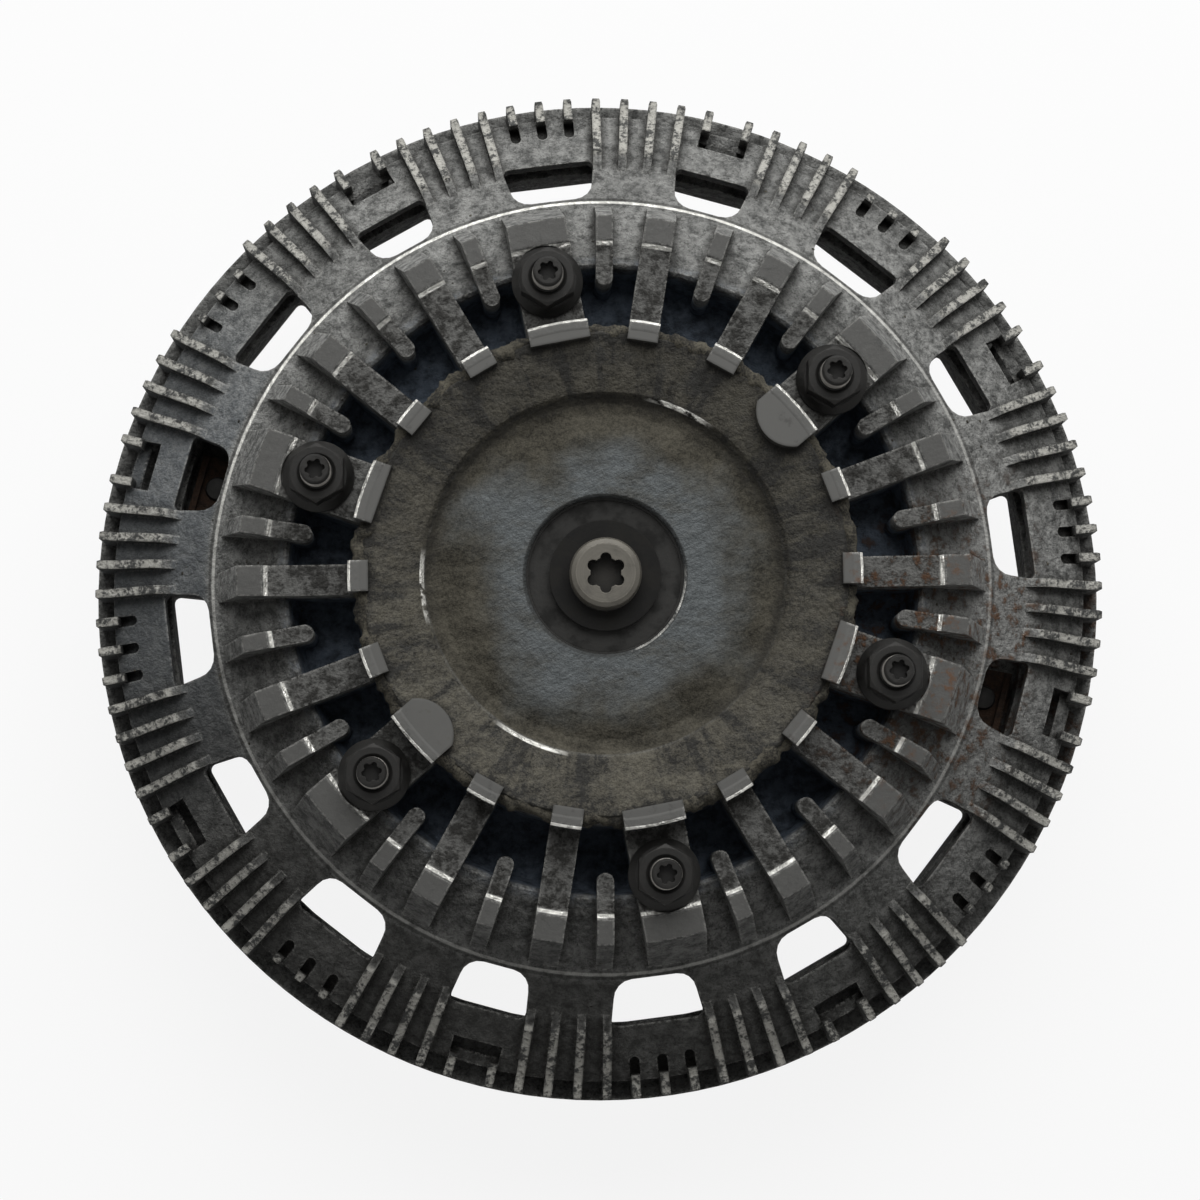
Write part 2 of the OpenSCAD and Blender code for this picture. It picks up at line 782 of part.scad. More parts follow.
// Turned section of the front cover
module cover_section() {
  rim_low = rim_at(rim_r) - rim_t + 1;
  lands = [for (i = [land_count - 1 : -1 : 0]) each [
    [land_r[i] + land_w / 2, cover_in_z], [land_r[i] + land_w / 2, cover_in_z - land_h],
    [land_r[i] - land_w / 2, cover_in_z - land_h], [land_r[i] - land_w / 2, cover_in_z]]];
  polygon(concat([
    [dish_hole_r, front_top], [dish_hole_r, dish_z - 0.6], [dish_hole_r + 0.6, dish_z],
    [dish_flat_r, dish_z], [dish_r - 5, dish_z - dish_sag], [dish_r - 2.4, dish_z - dish_sag + 0.5],
    [dish_r - 0.8, dish_z - dish_sag + 1.7], [dish_r, dish_edge_z], [collar_r, collar_z],
    [collar_r + 1.2, collar_z - 1.6], [pocket_in_r - 1, pocket_z + 2], [pocket_in_r + 1, pocket_z],
    [pocket_out_r - 1.5, pocket_z], [pocket_out_r, pocket_z + 1.5], [lip_r - 0.8, lip_z - 0.8],
    [lip_r, lip_z], [step_r, step_z], [step_r + step_h, step_z - step_h],
    [rim_r, rim_at(rim_r)], [rim_r, rim_low], [rim_r - 1.5, rim_at(rim_r - 1.5) - rim_t],
    [drum_r, rim_at(drum_r) - rim_t], [drum_r, joint_z], [skirt_in_r, joint_z],
    [skirt_in_r, cover_in_z]], lands, [
    [hollow_out_r, cover_in_z], [hollow_out_r, hollow_top - 4], [hollow_out_r - 4, hollow_top],
    [hub_wall_r + 2, hollow_top], [hub_wall_r, hollow_top - 2], [hub_wall_r, circlip_z - 1.5],
    [front_out_r, circlip_z - 1.5], [front_out_r, circlip_z - 0.05],
    [front_out_r + circlip_groove, circlip_z - 0.05], [front_out_r + circlip_groove, front_z],
    [front_out_r, front_z], [front_out_r, front_top]]));
}

module front_cover() {
  color("#77766f")
    difference() {
      union() {
        difference() {
          rotate_extrude()
            cover_section();
          translate([0, 0, joint_z])
            linear_extrude(pad_z - joint_z)
              windows_plan([], 0);
          translate([0, 0, joint_z])
            linear_extrude(pad_z - joint_z)
              rim_notches_plan();
          intersection() {
            translate([0, 0, joint_z])
              linear_extrude(pad_z - joint_z)
                rim_slots_plan();
            rim_slot_envelope();
          }
        }
        intersection() {
          translate([0, 0, pocket_z - 2])
            linear_extrude(pad_z - pocket_z + 4)
              hub_fins_plan();
          hub_fin_envelope();
        }
        intersection() {
          translate([0, 0, ring_top])
            linear_extrude(pad_z - ring_top)
              rim_fins_plan();
          rim_fin_envelope();
        }
        intersection() {
          for (i = [0 : screw_count - 1])
            rotate(spoke_a[i * repeat_count / screw_count])
              translate([pillar_at_r, 0, ring_top])
                cylinder(r = pillar_r, h = pad_z - ring_top);
          rotate_extrude()
            polygon([
              [drum_r, ring_top], [drum_r, rim_at(drum_r) - 1], [rim_r, rim_at(rim_r) - 1],
              [rim_r, ring_top]]);
        }
      }
      for (a = stud_a)
        rotate(a)
          translate([stud_pcd / 2, 0, 0]) {
            translate([0, 0, pocket_z + 2])
              cylinder(r = stud_r + slip, h = fin_h);
            translate([0, 0, seat_z])
              cylinder(r = nut_flange_r + 0.4, h = fin_h);
          }
      for (i = [0 : screw_count - 1])
        rotate(spoke_a[i * repeat_count / screw_count])
          translate([pillar_at_r, 0, ring_top - eps])
            cylinder(r = screw_r + slip, h = screw_in - ring_t + 1 + eps);
    }
}

// Turned section of the rear body
module body_section() {
  groove_in = seal_groove_r - seal_groove_w / 2;
  groove_out = seal_groove_r + seal_groove_w / 2;
  polygon([
    [seal_out_r, body_z], [seal_out_r, rear_z], [rear_out_r, rear_z], [rear_out_r, plate_z],
    [hub_r, plate_z], [hub_r, cavity_z + 2], [hub_r + 2, cavity_z], [cavity_r - 2, cavity_z],
    [cavity_r, cavity_z + 2], [cavity_r, plate_z], [plate_r + slip, plate_z], [plate_r + slip, joint_z],
    [groove_in, joint_z], [groove_in, joint_z - seal_groove_d], [groove_out, joint_z - seal_groove_d],
    [groove_out, joint_z], [drum_r, joint_z], [drum_r, ring_top], [window_out_r, ring_top],
    [window_out_r, ring_top + upstand_h], [upstand_r, ring_top + upstand_h], [upstand_r, ring_top],
    [ring_r, ring_top], [ring_r, ring_z + 1], [ring_r - 1, ring_z], [drum_r, ring_z],
    [drum_r, body_z + 4], [drum_r - 4, body_z]]);
}

module rear_body() {
  color("#6e6d67")
    difference() {
      union() {
        rotate_extrude()
          body_section();
        intersection() {
          translate([0, 0, body_z - rear_rib_h])
            linear_extrude(rear_rib_h + 1)
              for (i = [0 : rear_rib_count - 1])
                rotate(i * 360 / rear_rib_count)
                  translate([rear_rib_in_r, -rear_rib_w / 2])
                    square([rear_rib_out_r - rear_rib_in_r, rear_rib_w]);
          rotate_extrude()
            polygon([
              [rear_rib_in_r, body_z + 1], [rear_rib_in_r + 6, body_z - rear_rib_h],
              [rear_rib_out_r - 8, body_z - rear_rib_h], [rear_rib_out_r, body_z + 1]]);
        }
      }
      translate([0, 0, ring_z - eps])
        linear_extrude(ring_t + 2 * eps)
          windows_plan(blocked, rear_window_extra_a);
      for (i = [0 : screw_count - 1])
        rotate(spoke_a[i * repeat_count / screw_count])
          translate([pillar_at_r, 0, ring_z - eps])
            cylinder(r = screw_r + free_gap, h = ring_t + 2 * eps);
      for (i = blocked)
        rotate(narrow_a[i])
          translate([rivet_at_r, 0, ring_z - eps])
            cylinder(r = rivet_r + slip, h = ring_t + 2 * eps);
    }
}

module cover_seal() {
  color("#1d1c1a")
    rotate_extrude()
      translate([seal_groove_r, joint_z - seal_groove_d + seal_r + slip])
        circle(r = seal_r, $fn = 32);
}

module cover_screws() {
  color("#4b4a47")
    for (i = [0 : screw_count - 1])
      rotate(spoke_a[i * repeat_count / screw_count])
        translate([pillar_at_r, 0, ring_z]) {
          cylinder(r = screw_r, h = screw_in);
          translate([0, 0, -1.2])
            cylinder(r = screw_flange_r, h = 1.2);
          translate([0, 0, -screw_head_h])
            linear_extrude(screw_head_h)
              hexagon(screw_flats);
        }
}

// Studs: full thread in the boss and the nut, slightly smaller on the free end past the nut
module fan_studs() {
  foot_z = pocket_z + 2.5;
  free_z = seat_z + nut_h + stud_shoulder;
  top = seat_z + stud_out;
  color("#3f3d3a")
    for (a = stud_a)
      rotate(a)
        translate([stud_pcd / 2, 0, 0])
          difference() {
            rotate_extrude()
              polygon([
                [0, foot_z], [stud_r - stud_chamfer, foot_z], [stud_r, foot_z + stud_chamfer],
                [stud_r, free_z], [stud_end_r, free_z], [stud_end_r, top - stud_chamfer],
                [stud_end_r - stud_chamfer, top], [0, top]]);
            translate([0, 0, top - stud_socket_d])
              linear_extrude(stud_socket_d + eps)
                star(stud_socket_r);
          }
}

// Flange nut: a cone-shaped flange and a hexagon with its corners turned off
module fan_nuts() {
  corner_r = nut_flats / 2 / cos(30);
  color("#46443f")
    for (a = stud_a)
      rotate(a)
        translate([stud_pcd / 2, 0, seat_z])
          difference() {
            union() {
              rotate_extrude()
                polygon([
                  [0, 0], [nut_flange_r, 0], [nut_flange_r, 1.1], [corner_r - 0.4, 2.8], [0, 2.8]]);
              intersection() {
                rotate(30 - a)
                  linear_extrude(nut_h + eps)
                    hexagon(nut_flats);
                rotate_extrude()
                  polygon([
                    [0, 1], [corner_r + 1, 1], [corner_r + 1, nut_h - 1.4],
                    [nut_flats / 2 - 0.1, nut_h], [0, nut_h]]);
              }
            }
            rotate_extrude()
              polygon([
                [0, -eps], [stud_r + slip, -eps], [stud_r + slip, nut_h - 0.8],
                [stud_r + 0.9, nut_h + 0.1], [0, nut_h + 0.1]]);
          }
}

// Pump plate with the fluid port, a scavenge hole and two ears that hold the valve's pin
module pump_plate() {
  ear_x = lever_w / 2 + ear_gap;
  color("#8f8f8c")
    difference() {
      union() {
        translate([0, 0, plate_z])
          ring(plate_in_r, plate_r - slip, plate_t);
        for (side = [-1, 1])
          translate([side * (ear_x + ear_t / 2), valve_pivot_r, 0])
            translate([-ear_t / 2, -3, pin_z - 2.6])
              cube([ear_t, 6, plate_z - pin_z + 2.6 + 0.5]);
      }
      translate([0, port_r, plate_z - eps])
        cylinder(r = port_hole_r, h = plate_t + 2 * eps);
      rotate(150)
        translate([0, cavity_r - 4, plate_z - eps])
          cylinder(r = 1.5, h = plate_t + 2 * eps);
      translate([-lever_w, valve_pivot_r, pin_z])
        rotate([0, 90, 0])
          cylinder(r = pin_r + slip, h = 2 * lever_w);
    }
}

module valve_pin() {
  reach = lever_w / 2 + ear_gap + ear_t + 0.6;
  color("#9c9c9a")
    translate([-reach, valve_pivot_r, pin_z])
      rotate([0, 90, 0])
        cylinder(r = pin_r, h = 2 * reach);
}

// Valve lever: an eye on the pin, a flap under the port and an arm that carries the armature
module valve_lever() {
  flap_z = plate_z - lever_gap - lever_t;
  arm_z = pin_z - eye_r;
  color("#7f7f7c")
    difference() {
      union() {
        translate([-lever_w / 2, valve_pivot_r, pin_z])
          rotate([0, 90, 0])
            cylinder(r = eye_r, h = lever_w);
        translate([-lever_w / 2, valve_pivot_r, flap_z])
          cube([lever_w, port_r - valve_pivot_r, lever_t]);
        translate([0, port_r, flap_z])
          cylinder(r = flap_r, h = lever_t);
        translate([-lever_w / 2, armature_in_r, arm_z])
          cube([lever_w, valve_pivot_r - armature_in_r, lever_t]);
      }
      translate([-lever_w, valve_pivot_r, pin_z])
        rotate([0, 90, 0])
          cylinder(r = pin_r + run_gap, h = 2 * lever_w);
    }
}

module armature() {
  arm_z = pin_z - eye_r;
  color("#5a5a57")
    translate([-lever_w / 2 - 2, armature_in_r, arm_z - armature_t])
      cube([lever_w + 4, 9, armature_t]);
}

// Leaf spring: its foot lies on the reservoir floor, its free end reaches up under the armature
module valve_spring() {
  tip_y = armature_in_r + 3;
  foot_y = valve_pivot_r;
  tip_z = pin_z - eye_r - armature_t - free_gap;
  color("#b5b09a")
    translate([-spring_w / 2, 0, 0])
      rotate([90, 0, 90])
        linear_extrude(spring_w)
          polygon([
            [foot_y + spring_foot, cavity_z], [foot_y, cavity_z], [tip_y, tip_z - spring_t], [tip_y, tip_z],
            [foot_y, cavity_z + spring_t], [foot_y + spring_foot, cavity_z + spring_t]]);
}

// Plan of one balance weight or its bar, between two radii, with its sides set in
module weight_plan(r_in, r_out, inset) {
  tan_a = tan(narrow_half_a - 0.9);
  in_y = r_in * tan_a - inset;
  out_y = r_out * tan_a - inset;
  polygon([[r_in, -in_y], [r_out, -out_y], [r_out, out_y], [r_in, in_y]]);
}

// Rusty steel weights on the webs behind the two blocked windows, each with a raised bar
module balance_weights() {
  bar_r = weight_out_r - 1.9;
  color("#6b4630")
    for (i = blocked)
      rotate(narrow_a[i])
        difference() {
          translate([0, 0, ring_top]) {
            linear_extrude(weight_t)
              weight_plan(weight_in_r, weight_out_r, 0);
            translate([0, 0, weight_t / 2])
              linear_extrude(weight_t / 2 + weight_bar_h)
                weight_plan(bar_r, bar_r + weight_bar_w, weight_bar_side);
          }
          translate([rivet_at_r, 0, ring_top - eps])
            cylinder(r = rivet_r + slip, h = weight_t + 2 * eps);
        }
}

module weight_rivets() {
  color("#5b554d")
    for (i = blocked)
      rotate(narrow_a[i])
        translate([rivet_at_r, 0, 0])
          rotate_extrude()
            polygon([
              [0, ring_z - 1.5], [rivet_head_r, ring_z - 1], [rivet_head_r, ring_z], [rivet_r, ring_z],
              [rivet_r, ring_top + weight_t], [rivet_head_r, ring_top + weight_t],
              [rivet_head_r - 0.4, ring_top + weight_t + 1.2], [0, ring_top + weight_t + 1.5]]);
}

drive_shaft();
rotor_disc();
centre_washer();
centre_screw();
front_bearing_inner();
front_bearing_outer();
front_bearing_balls();
front_bearing_cage();
front_bearing_shield();
front_circlip();
rear_bearing_inner();
rear_bearing_outer();
rear_bearing_balls();
rear_bearing_cage();
shaft_seal();
coil_bearing_inner();
coil_bearing_outer();
coil_bearing_balls();
coil_bearing_cage();
coil_carrier();
coil_winding();
front_cover();
rear_body();
cover_seal();
cover_screws();
fan_studs();
fan_nuts();
pump_plate();
valve_pin();
valve_lever();
armature();
valve_spring();
balance_weights();
weight_rivets();
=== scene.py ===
"""Looks of a used viscous fan clutch: worn castings with painted highlights and shade, steel pieces, stud
threads, dirt and a studio.
"""
import json
import math

import bpy
from mathutils import Matrix, Vector


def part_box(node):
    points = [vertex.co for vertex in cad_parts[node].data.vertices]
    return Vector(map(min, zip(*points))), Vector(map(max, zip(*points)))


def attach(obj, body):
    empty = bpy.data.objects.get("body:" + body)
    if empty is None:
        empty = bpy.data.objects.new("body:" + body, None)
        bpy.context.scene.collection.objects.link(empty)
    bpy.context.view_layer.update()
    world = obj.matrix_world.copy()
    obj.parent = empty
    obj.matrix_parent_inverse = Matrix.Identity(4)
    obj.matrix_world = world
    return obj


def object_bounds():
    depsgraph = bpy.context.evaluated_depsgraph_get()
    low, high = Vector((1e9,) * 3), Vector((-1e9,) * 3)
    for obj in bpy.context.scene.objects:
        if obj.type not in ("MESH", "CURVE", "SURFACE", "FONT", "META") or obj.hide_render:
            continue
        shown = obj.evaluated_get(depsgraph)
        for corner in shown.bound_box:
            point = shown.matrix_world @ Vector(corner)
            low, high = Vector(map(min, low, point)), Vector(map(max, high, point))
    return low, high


bl_info = {
    "name": "Fan Clutch Looks",
    "version": (1, 0, 0),
    "blender": (4, 5, 0),
    "location": "View3D > Sidebar > Fan Clutch",
    "description": "Finishes, stud threads, grit and a plain studio for a viscous fan clutch",
    "category": "Material",
}

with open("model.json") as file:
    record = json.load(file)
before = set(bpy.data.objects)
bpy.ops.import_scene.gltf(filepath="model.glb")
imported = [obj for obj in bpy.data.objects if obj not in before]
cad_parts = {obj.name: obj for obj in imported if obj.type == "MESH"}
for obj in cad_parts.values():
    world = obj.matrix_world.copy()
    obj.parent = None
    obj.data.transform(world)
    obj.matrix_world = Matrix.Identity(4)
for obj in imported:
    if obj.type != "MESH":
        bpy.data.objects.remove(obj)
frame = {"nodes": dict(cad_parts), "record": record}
cad_low, cad_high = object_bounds()
cover_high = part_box("front_cover")[1]
stud_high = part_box("fan_studs")[1]
nut_low, nut_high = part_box("fan_nuts")
studs = next(mount for mount in frame["record"]["mounts"] if mount["name"] == "fan_studs")["dims"]
MM = 1000.0

# Scales of the castings' noise, per millimetre
BLOTCH, MOTTLE, GRAIN, SPECK = 0.045, 0.30, 0.95, 2.3
WANDER, WRINKLE = 0.4, 0.16
# Rays that look for edges and corners at each point
EDGE_RAYS = 2
CORNER_RAYS = 3


def length(name, words, default):
    """A size in metres."""
    return bpy.props.FloatProperty(name=name, description=words, default=default, unit="LENGTH", precision=5)


def angle(name, words, degrees):
    """An angle, given here in degrees."""
    return bpy.props.FloatProperty(
        name=name, description=words, default=math.radians(degrees), unit="ROTATION")


def share(name, words, default):
    """A plain number from 0 to 1."""
    return bpy.props.FloatProperty(name=name, description=words, default=default, min=0.0, max=1.0)


def amount(name, words, default):
    """A plain number."""
    return bpy.props.FloatProperty(name=name, description=words, default=default)


def colour(name, words, default):
    """A linear colour."""
    return bpy.props.FloatVectorProperty(
        name=name, description=words, default=default, subtype="COLOR", size=3, min=0.0, max=1.0)


def scaled(tone, factor):
    """A colour made lighter or darker."""
    return [min(1.0, channel * factor) for channel in tone]


class CastingZones(bpy.types.PropertyGroup):
    """Where the finish of the front casting changes."""

    dish_hole: length("Dish hole", "Radius of the hole in the dish", 0.0196)
    dish_flat: length("Dish flat", "Radius of the brushed flat of the dish", 0.0345)
    dish_edge: length("Dish edge", "Radius of the edge round the dish", 0.0456)
    collar: length("Collar", "Radius where the collar ends", 0.0595)
    register: length("Register", "Radius of the stepped ends that centre the fan", 0.0632)
    lip: length("Lip", "Radius where the shoulder cone starts", 0.0796)
    shoulder_in: length("Shoulder start", "Radius where the outer chamfer of the fan seat starts", 0.0831)
    step: length("Step", "Radius of the step ring round the shoulder cone", 0.098)
    # The step ring's bright line is mostly a painted highlight, brightest towards shine_heading.
    step_width: length("Step width", "Width of the worn line on the step ring", 0.0007)
    rim_start: length("Rim start", "Radius where the rim cone starts", 0.0992)
    rim_top: length("Rim height", "Height of the rim cone where it starts", 0.0716)
    rim_slope: angle("Rim slope", "Slope of the rim cone", 33.0)
    window_out: length("Windows", "Outer radius of the windows", 0.111)
    pad_top: length("Pads", "Height of the pads", cover_high.z)
    seat_top: length("Fan seat", "Height of the fan seat", nut_low.z)
    outer_pad_top: length("Outer pads", "Height of the outer pads", nut_low.z + 0.0015)
    outer_pad_in: length("Outer pad start", "Radius where the outer pads start", 0.083)
    rust_in: length("Rust start", "Radius where the rust stains start", 0.060)
    rust_out: length("Rust end", "Radius where the rust stains end", 0.112)


class CastingFinish(bpy.types.PropertyGroup):
    """Colours, wear and painted light and shade of the two castings."""

    metal: colour("Metal", "Pale grey of the bare casting", (0.288, 0.289, 0.277))
    soot: colour("Soot", "Dark grey of the sooty casting", (0.061, 0.062, 0.060))
    pad: colour("Pads", "Smooth grey of the machined pads", (0.104, 0.103, 0.098))
    # Also the colour of painted highlights on the chamfer lines, the step ring and the dish.
    worn: colour("Worn", "Bright metal on worn edges", (0.80, 0.79, 0.74))
    # Also paints shade: in corners, on the side away from the lamp, on the rim's steep faces, in the dish's
    # edge groove and outside the step ring.
    grime_and_shade: colour("Grime", "Dirt in the corners", (0.022, 0.021, 0.019))
    pocket: colour("Pockets", "Bluish black at the bottom of the pockets", (0.092, 0.114, 0.146))
    brown: colour("Brown dirt", "Baked oil on the collar", (0.064, 0.059, 0.046))
    dish: colour("Dish", "Bluish grey of the brushed dish", (0.078, 0.085, 0.087))
    # Also serves as a painted highlight on the lit tops of the rim fins.
    chalk_and_highlight: colour("Chalk", "Pale crumbs of salt and dust", (0.46, 0.45, 0.41))
    rust: colour("Rust", "Rust stains", (0.105, 0.052, 0.026))
    blue: colour("Blue tint", "Bluish grey between the fins on one side", (0.125, 0.138, 0.150))
    edge_radius: length("Edge radius", "Rounding of the casting's edges", 0.0009)
    corner_reach: length("Corner reach", "How far dirt reaches out of a corner", 0.0024)
    grain_height: length("Grain height", "Height of the casting's grain", 0.0010)
    rust_heading: angle("Rust heading", "Direction of the rust stains from the axis", -12)
    blue_heading: angle("Blue heading", "Direction of the bluish side", 175)
    # Heading away from the lamp: the rim gets painted shade and the collar painted light on this side, and
    # the painted groove shadow is left out here.
    away_from_lamp_heading: angle("Dark heading", "Direction of the oiliest side", 250)
    # Headings of painted highlights: the brightest stretch of the step ring and glints on the dish's edge and
    # hole.
    shine_heading: angle("Shine heading", "Direction of the brightest stretch of the step ring", 110)
    left_glint: angle("Left glint", "Direction of a worn spot on the dish's edge", 184)
    low_glint: angle("Low glint", "Direction of a worn spot on the dish's edge", 246)
    high_glint: angle("High glint", "Direction of a worn spot on the dish's edge", 66)
    hole_glint: angle("Hole glint", "Direction of the worn spot on the dish's hole", 325)


class SteelFinish(bpy.types.PropertyGroup):
    """Colours of the pieces that aren't cast."""

    fastener: colour("Fasteners", "Dark dull steel of nuts, studs and screws", (0.015, 0.0145, 0.0135))
    screw: colour("Centre screw", "Dull plated steel", (0.105, 0.098, 0.083))
    washer: colour("Centre washer", "Oily brown steel", (0.008, 0.0078, 0.0074))
    shield: colour("Bearing shield", "Dirty sheet steel", (0.020, 0.0195, 0.018))
    bearing: colour("Bearings", "Ground steel", (0.36, 0.36, 0.35))
    cage: colour("Cages", "Pressed steel", (0.27, 0.27, 0.25))
    shaft: colour("Shaft", "Turned steel", (0.17, 0.165, 0.16))
    rotor: colour("Rotor", "Turned light alloy", (0.33, 0.33, 0.32))
    plate: colour("Pump plate", "Stamped steel sheet", (0.30, 0.30, 0.28))
    spring: colour("Springs", "Blued spring steel", (0.085, 0.085, 0.09))
    carrier: colour("Coil carrier", "Dark paint", (0.045, 0.044, 0.042))
    copper: colour("Winding", "Varnished copper wire", (0.27, 0.105, 0.04))
    rubber: colour("Rubber", "Black rubber", (0.018, 0.018, 0.018))
    weight: colour("Weights", "Rusty iron", (0.050, 0.026, 0.014))
    dust: colour("Dust", "Pale dust and dried dirt", (0.12, 0.105, 0.085))
    wire_pitch: length("Wire pitch", "Distance between turns of the winding", 0.0009)


class ThreadSizes(bpy.types.PropertyGroup):
    """The thread on the free ends of the fan studs."""

    circle: length("Stud circle", "Radius of the circle of studs", studs["pcd_mm"] / 2 / MM)
    count: bpy.props.IntProperty(name="Studs", description="Number of studs", default=studs["count"])
    first: angle("First stud", "Direction of the first stud", 41.1)
    crest: length("Crest", "Radius of the thread's crests", studs["stud_r_mm"] / MM)
    pitch: length("Pitch", "Pitch of the thread", 0.00125)
    ridge: length("Ridge", "Radius of the thread's ridge", 0.0003)
    start: length("Start", "Height where the free thread starts", nut_high.z + 0.0010)
    end: length("End", "Height where the free thread ends", stud_high.z - 0.0012)


class GritSizes(bpy.types.PropertyGroup):
    """Baked grit in the pockets of the front casting."""

    density: amount("Density", "Crumbs for each square metre", 9000.0)
    smallest: length("Smallest", "Radius of the smallest crumb", 0.00018)
    largest: length("Largest", "Radius of the largest crumb", 0.00055)
    inner: length("Inner radius", "Radius where the grit starts", 0.060)
    outer: length("Outer radius", "Radius where the grit ends", 0.122)
    top: length("Top", "Height where the grit ends", nut_low.z - 0.002)
    flat: share("Flatness", "Height of a crumb as a share of its width", 0.5)
    seed: bpy.props.IntProperty(name="Seed", description="Places of the crumbs", default=7)


class CrustSizes(bpy.types.PropertyGroup):
    """Baked dirt along the edge of the collar."""

    radius: length("Radius", "Radius of the crust's middle", 0.0602)
    height: length("Height", "Height of the crust's middle", cover_high.z - 0.0040)
    thickness: length("Thickness", "Radius of the crust's section", 0.0019)
    ragged: length("Raggedness", "How far the crust stands out or falls back", 0.0016)
    lump: length("Lumps", "Size of the crust's lumps", 0.0042)


class StudioSettings(bpy.types.PropertyGroup):
    """Camera, lamps and floor."""

    camera_distance: length("Camera distance", "From the pads to the camera", 0.700)
    camera_width: length("View width", "Width of the view at the pads", 0.2929)
    camera_heading: angle("Camera heading", "Azimuth of the camera", -15.0)
    camera_height: angle("Camera height", "Elevation of the camera", 83.6)
    aim_x: length("Aim X", "Point on the pads' plane in the middle of the view", -0.0015)
    aim_y: length("Aim Y", "Point on the pads' plane in the middle of the view", -0.0070)
    key_power: amount("Key power", "Power of the main lamp in watts", 20.0)
    key_size: length("Key size", "Side of the main lamp", 1.3)
    key_distance: length("Key distance", "From the part to the main lamp", 1.1)
    key_heading: angle("Key heading", "Direction of the main lamp from the axis", 86.0)
    key_height: angle("Key height", "Elevation of the main lamp", 40.0)
    fill: share("Fill", "Strength of the light from all round", 0.13)
    floor_size: length("Floor size", "Side of the floor", 40.0)
    floor_colour: colour("Floor", "Pale floor", (0.80, 0.80, 0.80))
    floor_white: share("Floor white", "How far the seen floor is lifted to white", 0.88)


class Value:
    """A node's output that takes part in Python expressions."""

    def __init__(self, sheet, socket):
        self.sheet = sheet
        self.socket = socket

    def __add__(self, other):
        return self.sheet.math("ADD", self, other)

    def __radd__(self, other):
        return self.sheet.math("ADD", other, self)

    def __sub__(self, other):
        return self.sheet.math("SUBTRACT", self, other)

    def __rsub__(self, other):
        return self.sheet.math("SUBTRACT", other, self)

    def __mul__(self, other):
        return self.sheet.math("MULTIPLY", self, other)

    def __rmul__(self, other):
        return self.sheet.math("MULTIPLY", other, self)

    def __truediv__(self, other):
        return self.sheet.math("DIVIDE", self, other)

    def __rtruediv__(self, other):
        return self.sheet.math("DIVIDE", other, self)

    def __pow__(self, other):
        return self.sheet.math("POWER", self, other)

    def over(self, low, high):
        """0 below low, 1 above high and smooth between them."""
        return self.sheet.node(
            "ShaderNodeMapRange", {"interpolation_type": "SMOOTHSTEP"},
            {"Value": self, "From Min": low, "From Max": high})

    def under(self, low, high):
        """1 below low, 0 above high and smooth between them."""
        return 1 - self.over(low, high)

    def within(self, low, high, soft):
        """1 from low to high, fading over soft at both ends."""
        return self.over(low - soft, low + soft) * self.under(high - soft, high + soft)

    def held(self):
        """Kept from 0 to 1."""
        return self.sheet.node("ShaderNodeClamp", {}, {"Value": self})


class NodeSheet:
    """A node tree that is filled by expressions and by one method for any node."""

    def __init__(self, tree):
        self.tree = tree

    def node(self, kind, settings=None, sockets=None, output=0):
        """Adds a node, sets it up, feeds its sockets and gives one of its outputs."""
        made = self.tree.nodes.new(kind)
        for name, value in (settings or {}).items():
            setattr(made, name, value)
        for name, value in (sockets or {}).items():
            self.feed(made.inputs[name], value)
        return Value(self, made.outputs[output]) if made.outputs else None

    def feed(self, socket, value):
        """Links a value to a socket, or writes a plain value on it."""
        if isinstance(value, Value):
            self.tree.links.new(value.socket, socket)
        elif socket.type == "RGBA" and len(value) == 3:
            socket.default_value = (*value, 1.0)
        else:
            socket.default_value = value

    def math(self, operation, first, second):
        return self.node("ShaderNodeMath", {"operation": operation}, {0: first, 1: second})

    def mix(self, factor, first, second):
        """A colour between two colours."""
        return self.node("ShaderNodeMix", {"data_type": "RGBA"}, {0: factor, 6: first, 7: second}, 2)

    def parts(self, vector):
        """The three numbers of a vector."""
        first = self.node("ShaderNodeSeparateXYZ", {}, {0: vector})
        return [Value(self, output) for output in first.socket.node.outputs]

    def vector(self, x, y, z):
        return self.node("ShaderNodeCombineXYZ", {}, {"X": x, "Y": y, "Z": z})

    def millimetres(self):
        """The place on the piece, in millimetres."""
        place = self.node("ShaderNodeTexCoord", output="Object")
        return self.node("ShaderNodeVectorMath", {"operation": "SCALE"}, {0: place, "Scale": MM})

    def noise(self, place, scale, detail=4.0, roughness=0.55):
        return self.node(
            "ShaderNodeTexNoise", {},
            {"Vector": place, "Scale": scale, "Detail": detail, "Roughness": roughness}, "Fac")

    def facing(self, vector, other):
        """How far two directions agree."""
        return self.node("ShaderNodeVectorMath", {"operation": "DOT_PRODUCT"}, {0: vector, 1: other}, "Value")

    def bump(self, height, distance, normal=None, strength=1.0):
        sockets = {"Height": height, "Distance": distance, "Strength": strength}
        if normal is not None:
            sockets["Normal"] = normal
        return self.node("ShaderNodeBump", {}, sockets)

    def surface(self, **sockets):
        """Ends a material in one principled surface; an underscore in a name stands for a space."""
        named = {name.replace("_", " "): value for name, value in sockets.items()}
        shader = self.node("ShaderNodeBsdfPrincipled", {}, named)
        self.node("ShaderNodeOutputMaterial", {}, {"Surface": shader})


def new_sheet(name):
    """An empty material and its node sheet."""
    material = bpy.data.materials.new(name)
    material.use_nodes = True
    material.node_tree.nodes.clear()
    return material, NodeSheet(material.node_tree)


